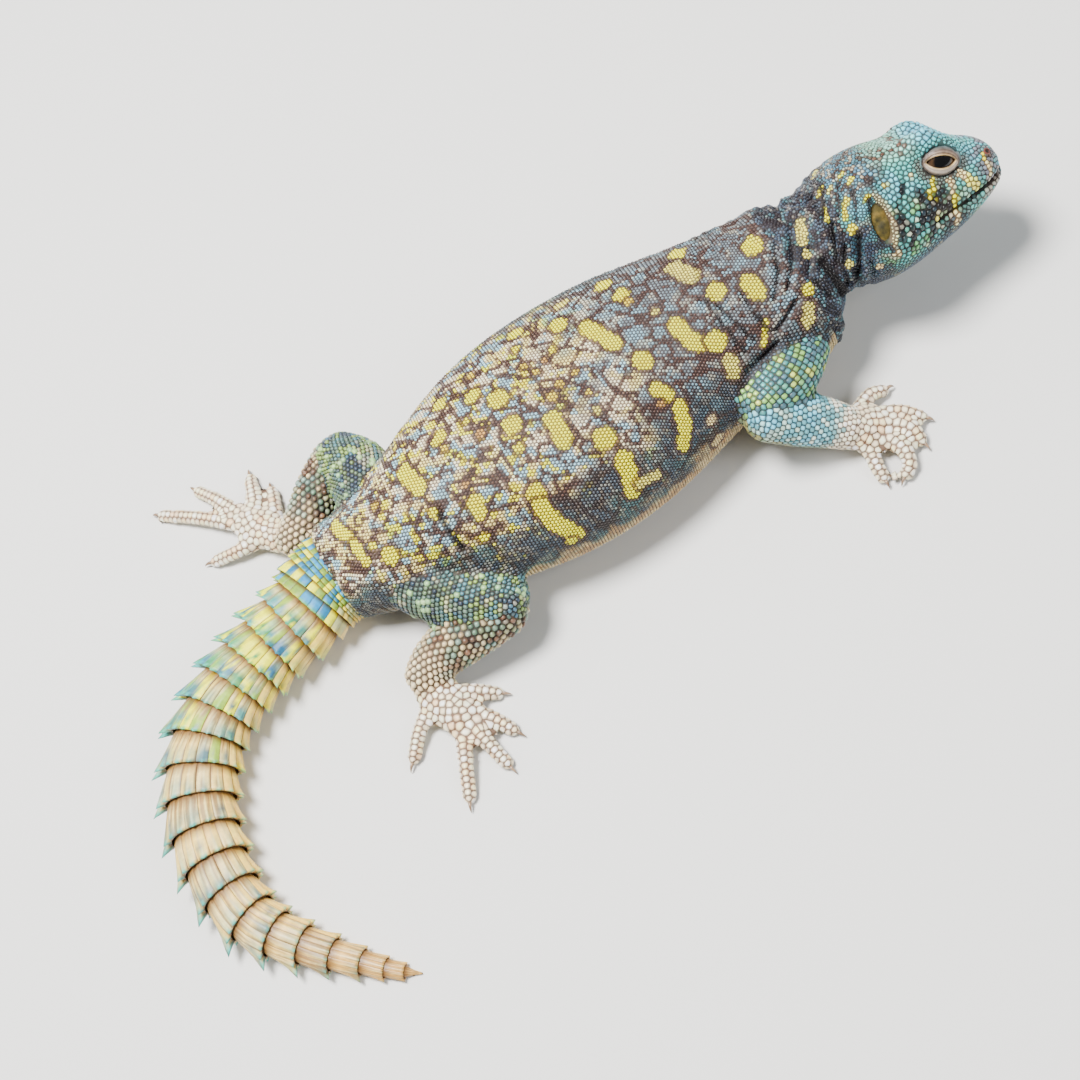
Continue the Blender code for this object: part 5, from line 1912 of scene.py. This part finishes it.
# Half length, height above, height below, then how far the corners and the middle stand out from the eye's
# middle.
lidRings = [
    (3.15, 1.32, 1.22, 2.3, 3.45), (3.25, 1.42, 1.32, 2.7, 4.0), (3.38, 1.6, 1.5, 3.1, 4.3),
    (3.55, 1.82, 1.78, 3.2, 4.3), (3.68, 2.02, 2.02, 3.02, 4.06), (3.85, 2.32, 2.3, 3.1, 4.12),
    (4.0, 2.58, 2.6, 2.98, 3.9), (4.12, 2.74, 2.82, 2.84, 3.66), (4.32, 2.98, 3.1, 2.9, 3.62),
    (4.6, 3.28, 3.42, 2.7, 3.2), (4.9, 3.6, 3.8, 2.5, 2.7), (5.2, 3.9, 4.2, 1.6, 1.7),
]
lidTones = [
    (40, 32, 28), (86, 72, 60), (196, 180, 150), (160, 142, 118), (84, 72, 64), (146, 134, 122),
    (122, 110, 102), (104, 94, 88), (116, 112, 108), (110, 118, 118), (108, 134, 136), (98, 134, 138),
]


def lidAxes(side):
    # The middle of the eye, and the ways forward, up and out of the lids' own outline.
    tilt = math.radians(eyePlace["tilt"])
    forward = headAxes @ np.array([math.cos(tilt), 0, -math.sin(tilt)])
    upward = headAxes @ np.array([math.sin(tilt), 0, math.cos(tilt)])
    outward = headAxes @ np.array([0, side, 0])
    centre = fromHead((eyePlace["x"] + 0.1, side * eyePlace["y"], eyePlace["z"]))
    return centre, forward, upward, outward


def eyeFinish(label, centre, gaze):
    # Rings of colour round the way that the eye looks, with a pupil in the middle.
    made = Finish("eye " + label, 0.14, 0.4, 0.45)
    middle = tuple(toScene(centre))
    offset = made.node("VectorMath", {"operation": "SUBTRACT"}, {0: made.place(), 1: middle})
    way = made.node("VectorMath", {"operation": "NORMALIZE"}, {0: offset})
    facing = made.node("VectorMath", {"operation": "DOT_PRODUCT"}, {0: way, 1: tuple(gaze)}, out="Value")
    wobbly = facing + (made.noise(2200, 4.0) - 0.5) * 0.012
    made.feed(made.surface.inputs["Base Color"], made.ramp(wobbly, eyePlan["stops"]))
    return made.material


def buildEye(label, side):
    centre = lidAxes(side)[0]
    x, y, z = eyePlan["gaze"]
    gaze = unit(headAxes @ np.array([x, side * y, z]))
    mesh = bmesh.new()
    count = eyePlan["segments"]
    bmesh.ops.create_uvsphere(mesh, u_segments=count, v_segments=count // 2, radius=eyePlace["radius"] * mm)
    turn = Vector((0, 0, 1)).rotation_difference(Vector(gaze)).to_matrix()
    bmesh.ops.rotate(mesh, cent=(0, 0, 0), matrix=turn, verts=mesh.verts[:])
    bmesh.ops.translate(mesh, vec=Vector(toScene(centre)), verts=mesh.verts[:])
    made = objectFrom(mesh, "eyeball_" + label, eyeFinish(label, centre, gaze))
    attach(made, "root")
    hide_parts("eye_" + label)


def skinLevel(centre, outward, place):
    # How far out the skin lies at a place beside the lids, or nothing where it is missed.
    hits, faces = castMany((place - outward * 1.0)[None], outward[None], 20.0)
    return float((hits[0] - centre) @ outward) if faces[0] >= 0 else None


def buildLids(label, side):
    centre, forward, upward, outward = lidAxes(side)
    turns = wholeTurn(lidPlan["steps"])
    rings = []
    paint = []
    for number, (half, above, below, corner, middle) in enumerate(lidRings):
        sharp = lidPlan["sharp"] - 0.5 * number / (len(lidRings) - 1)
        outer = 0.09 * (6 < number < 10)
        inner = 0.04 * (3 < number < 7)
        ring = []
        for turn in turns:
            u = half * math.cos(turn)
            lift = abs(math.sin(turn)) ** sharp
            v = lift * above if turn < math.pi else -lift * below
            w = corner + (middle - corner) * math.sin(turn) ** 2
            place = centre + forward * u + upward * v
            level = skinLevel(centre, outward, place) if number in lidPlan["overSkin"] else None
            if level is not None:
                w = level + lidPlan["overSkin"][number]
            w += math.sin(turn * 21 + number * 2.2) * outer + math.sin(turn * 17) * inner
            ring.append(place + outward * w)
        ring = np.array(ring)
        rings.append(ring)
        shade = 0.85 + 0.35 * (clouds(ring, 0.9, 121) - 0.2)
        colour = np.array(lidTones[number], dtype=float) * shade[:, None]
        if 3 <= number <= 6:
            colour = blend(colour, tones["lowerLid"], rise(0.1, -0.5, np.sin(turns)) * 0.7)
        paint.append(colour)
    made = ringObject("lids_" + label, rings, np.concatenate(paint), lidFinish, False)
    soften = made.modifiers.new("rounding", "SUBSURF")
    soften.levels = 1
    soften.render_levels = 1
    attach(made, "root")


lidFinish = coatFinish("lid skin", 0.4, 0.5, 4200, 0.00005)
for label, side in (("r", -1), ("l", 1)):
    buildEye(label, side)
    buildLids(label, side)
print("eyes and lids made")

# Ears and nostrils.
earPlan = {
    "half": (2.5, 0.9, 5.4),
    "out": 14.6,
    "crease": 0.35,
    "stops": [(0.3, (38, 36, 18)), (0.5, (78, 68, 28)), (0.72, (128, 104, 46))],
}
nostrilPlan = {
    "sides": 24,
    "rings": [(1.05, -0.15), (0.86, 0.16), (0.68, 0.22), (0.52, 0.08), (0.42, -0.3), (0.3, -0.8)],
    # The inner rings darken to black: painted shade for the nostril's hollow.
    "tones": [(96, 70, 64), (126, 84, 76), (104, 66, 60), (52, 32, 30), (22, 14, 14), (10, 8, 8)],
}


def buildEar(label, side):
    finish = Finish("ear drum " + label, 0.6, 0.4, 0.0)
    veins = finish.noise(420, 4.0, 0.6)
    finish.feed(finish.surface.inputs["Base Color"], finish.ramp(veins, earPlan["stops"]))
    finish.bump(veins, 0.0001)
    mesh = bmesh.new()
    bmesh.ops.create_uvsphere(mesh, u_segments=40, v_segments=28, radius=1.0)
    tilt = Matrix.Rotation(math.radians(earPlace["tilt"]), 3, "Y")
    wide, deep, high = earPlan["half"]
    for vertex in mesh.verts:
        shape = Vector((vertex.co.x * wide, vertex.co.y * deep, vertex.co.z * high))
        crease = hill(shape.z, 0.2 + shape.x * 0.5, 0.45)
        crease += 0.7 * hill(shape.x, -0.3 - shape.z * 0.25, 0.4) * (shape.z > 0)
        shape.y += (side * -earPlan["crease"] if shape.y * side > 0 else 0) * float(crease)
        local = tilt @ shape + Vector((earPlace["x"], side * earPlan["out"], earPlace["z"]))
        vertex.co = toScene(fromHead(local))
    made = objectFrom(mesh, "ear_drum_" + label, finish.material)
    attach(made, "root")


def buildNostril(label, side):
    x, y, z = nostrilPlace["rim"]
    spots, normals = snap(fromHead((x, side * y, z))[None])[:2]
    centre, out = spots[0], normals[0]
    ahead = unit(headAxes[:, 0] - (headAxes[:, 0] @ out) * out)
    across = np.cross(out, ahead)
    sides = nostrilPlan["sides"]
    turns = wholeTurn(sides)
    rings = []
    for radius, height in nostrilPlan["rings"]:
        long = ahead * np.cos(turns)[:, None] * radius * 1.15
        wide = across * np.sin(turns)[:, None] * radius * 0.85
        rings.append(centre + (long + wide) + out * height)
    paint = np.repeat(np.array(nostrilPlan["tones"], dtype=float), sides, axis=0)
    made = ringObject("nostril_" + label, rings, paint, lidFinish, True)
    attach(made, "root")


for label, side in (("r", -1), ("l", 1)):
    buildEar(label, side)
    buildNostril(label, side)
print("ears and nostrils made")

# Claws.
clawPlan = {
    "sides": 10,
    "root": 0.55,
    "places": (-0.35, 0.0, 0.25, 0.5, 0.75, 0.92, 1.0),
    "shares": (0.95, 1.0, 0.86, 0.66, 0.4, 0.18, 0.03),
    "stops": [(0.3, (104, 80, 62)), (0.7, (158, 132, 106))],
}


def clawCentres(foot, path):
    # The middle line of one claw, from inside the digit's end down to its tip.
    ends = np.array(path[-2:], dtype=float)
    level = ends[1] - ends[0]
    level[2] = 0
    level = unit(level)
    start = ends[1] + [0, 0, -footSink + 0.35] + level * foot["thick"] * 0.55
    centres = []
    for part in clawPlan["places"]:
        drop = 0.18 * math.sin(part * math.pi * 0.9) - (start[2] - 0.25) * 0.9 * max(part, 0) ** 2
        centres.append(start + level * part * foot["claw"] + np.array([0, 0, drop]))
    return np.array(centres)


def buildClaws():
    finish = Finish("claw horn", 0.3, 0.5, 0.2)
    streak = finish.noise(900, 3.0)
    finish.feed(finish.surface.inputs["Base Color"], finish.ramp(streak, clawPlan["stops"]))
    finish.bump(streak, 0.00005)
    mesh = bmesh.new()
    turns = wholeTurn(clawPlan["sides"])
    for foot in feet.values():
        for path in foot["digits"]:
            centres = clawCentres(foot, path)
            side, up = lineFrames(centres)[1:]
            rings = []
            for k, share in enumerate(clawPlan["shares"]):
                radius = clawPlan["root"] * share
                wide = side[k] * np.cos(turns)[:, None] * radius * 0.8
                ring = centres[k] + (wide + up[k] * np.sin(turns)[:, None] * radius)
                ring[:, 2] = np.maximum(ring[:, 2], 0.03)
                rings.append(toScene(ring))
            ringLoft(mesh, rings)
    made = objectFrom(mesh, "claws", finish.material)
    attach(made, "root")


buildClaws()
print("claws made")

# Floor and light.
floorPlan = {"half": 4.0, "colour": (0.72, 0.72, 0.71)}
worldLight = {"colour": (0.9, 0.93, 0.96), "strength": 0.25}


def buildFloor():
    mesh = bmesh.new()
    bmesh.ops.create_grid(mesh, x_segments=2, y_segments=2, size=floorPlan["half"])
    finish = Finish("pale floor", 0.75, 0.3)
    finish.surface.inputs["Base Color"].default_value = (*floorPlan["colour"], 1)
    floor = objectFrom(mesh, "floor", finish.material)


lights = [
    {
        "name": "overhead", "place": (-0.16, 0.16, 0.9), "size": 0.34, "power": 27.0,
        "colour": (1.0, 0.98, 0.95), "seen": True,
    },
    {
        "name": "front", "place": (0.45, -0.55, 0.6), "size": 0.5, "power": 5.0,
        "colour": (0.95, 0.98, 1.0), "seen": False,
    },
    {
        "name": "side", "place": (-0.6, 0.35, 0.55), "size": 0.6, "power": 3.0, "colour": (1.0, 0.99, 0.97),
        "seen": False,
    },
]


def buildLight():
    for plan in lights:
        data = bpy.data.lights.new(plan["name"], "AREA")
        data.shape = "DISK"
        data.size = plan["size"]
        data.energy = plan["power"]
        data.color = plan["colour"]
        made = bpy.data.objects.new(plan["name"], data)
        bpy.context.scene.collection.objects.link(made)
        place = Vector(plan["place"])
        made.visible_glossy = plan["seen"]
        aim = (Vector((0, 0, 0.02)) - place).to_track_quat("-Z", "Y")
        made.matrix_world = Matrix.Translation(place) @ aim.to_matrix().to_4x4()
    world = bpy.data.worlds.new("studio")
    bpy.context.scene.world = world
    world.use_nodes = True
    background = world.node_tree.nodes["Background"]
    background.inputs["Color"].default_value = (*worldLight["colour"], 1)
    background.inputs["Strength"].default_value = worldLight["strength"]


buildFloor()
buildLight()
print("floor and light set")
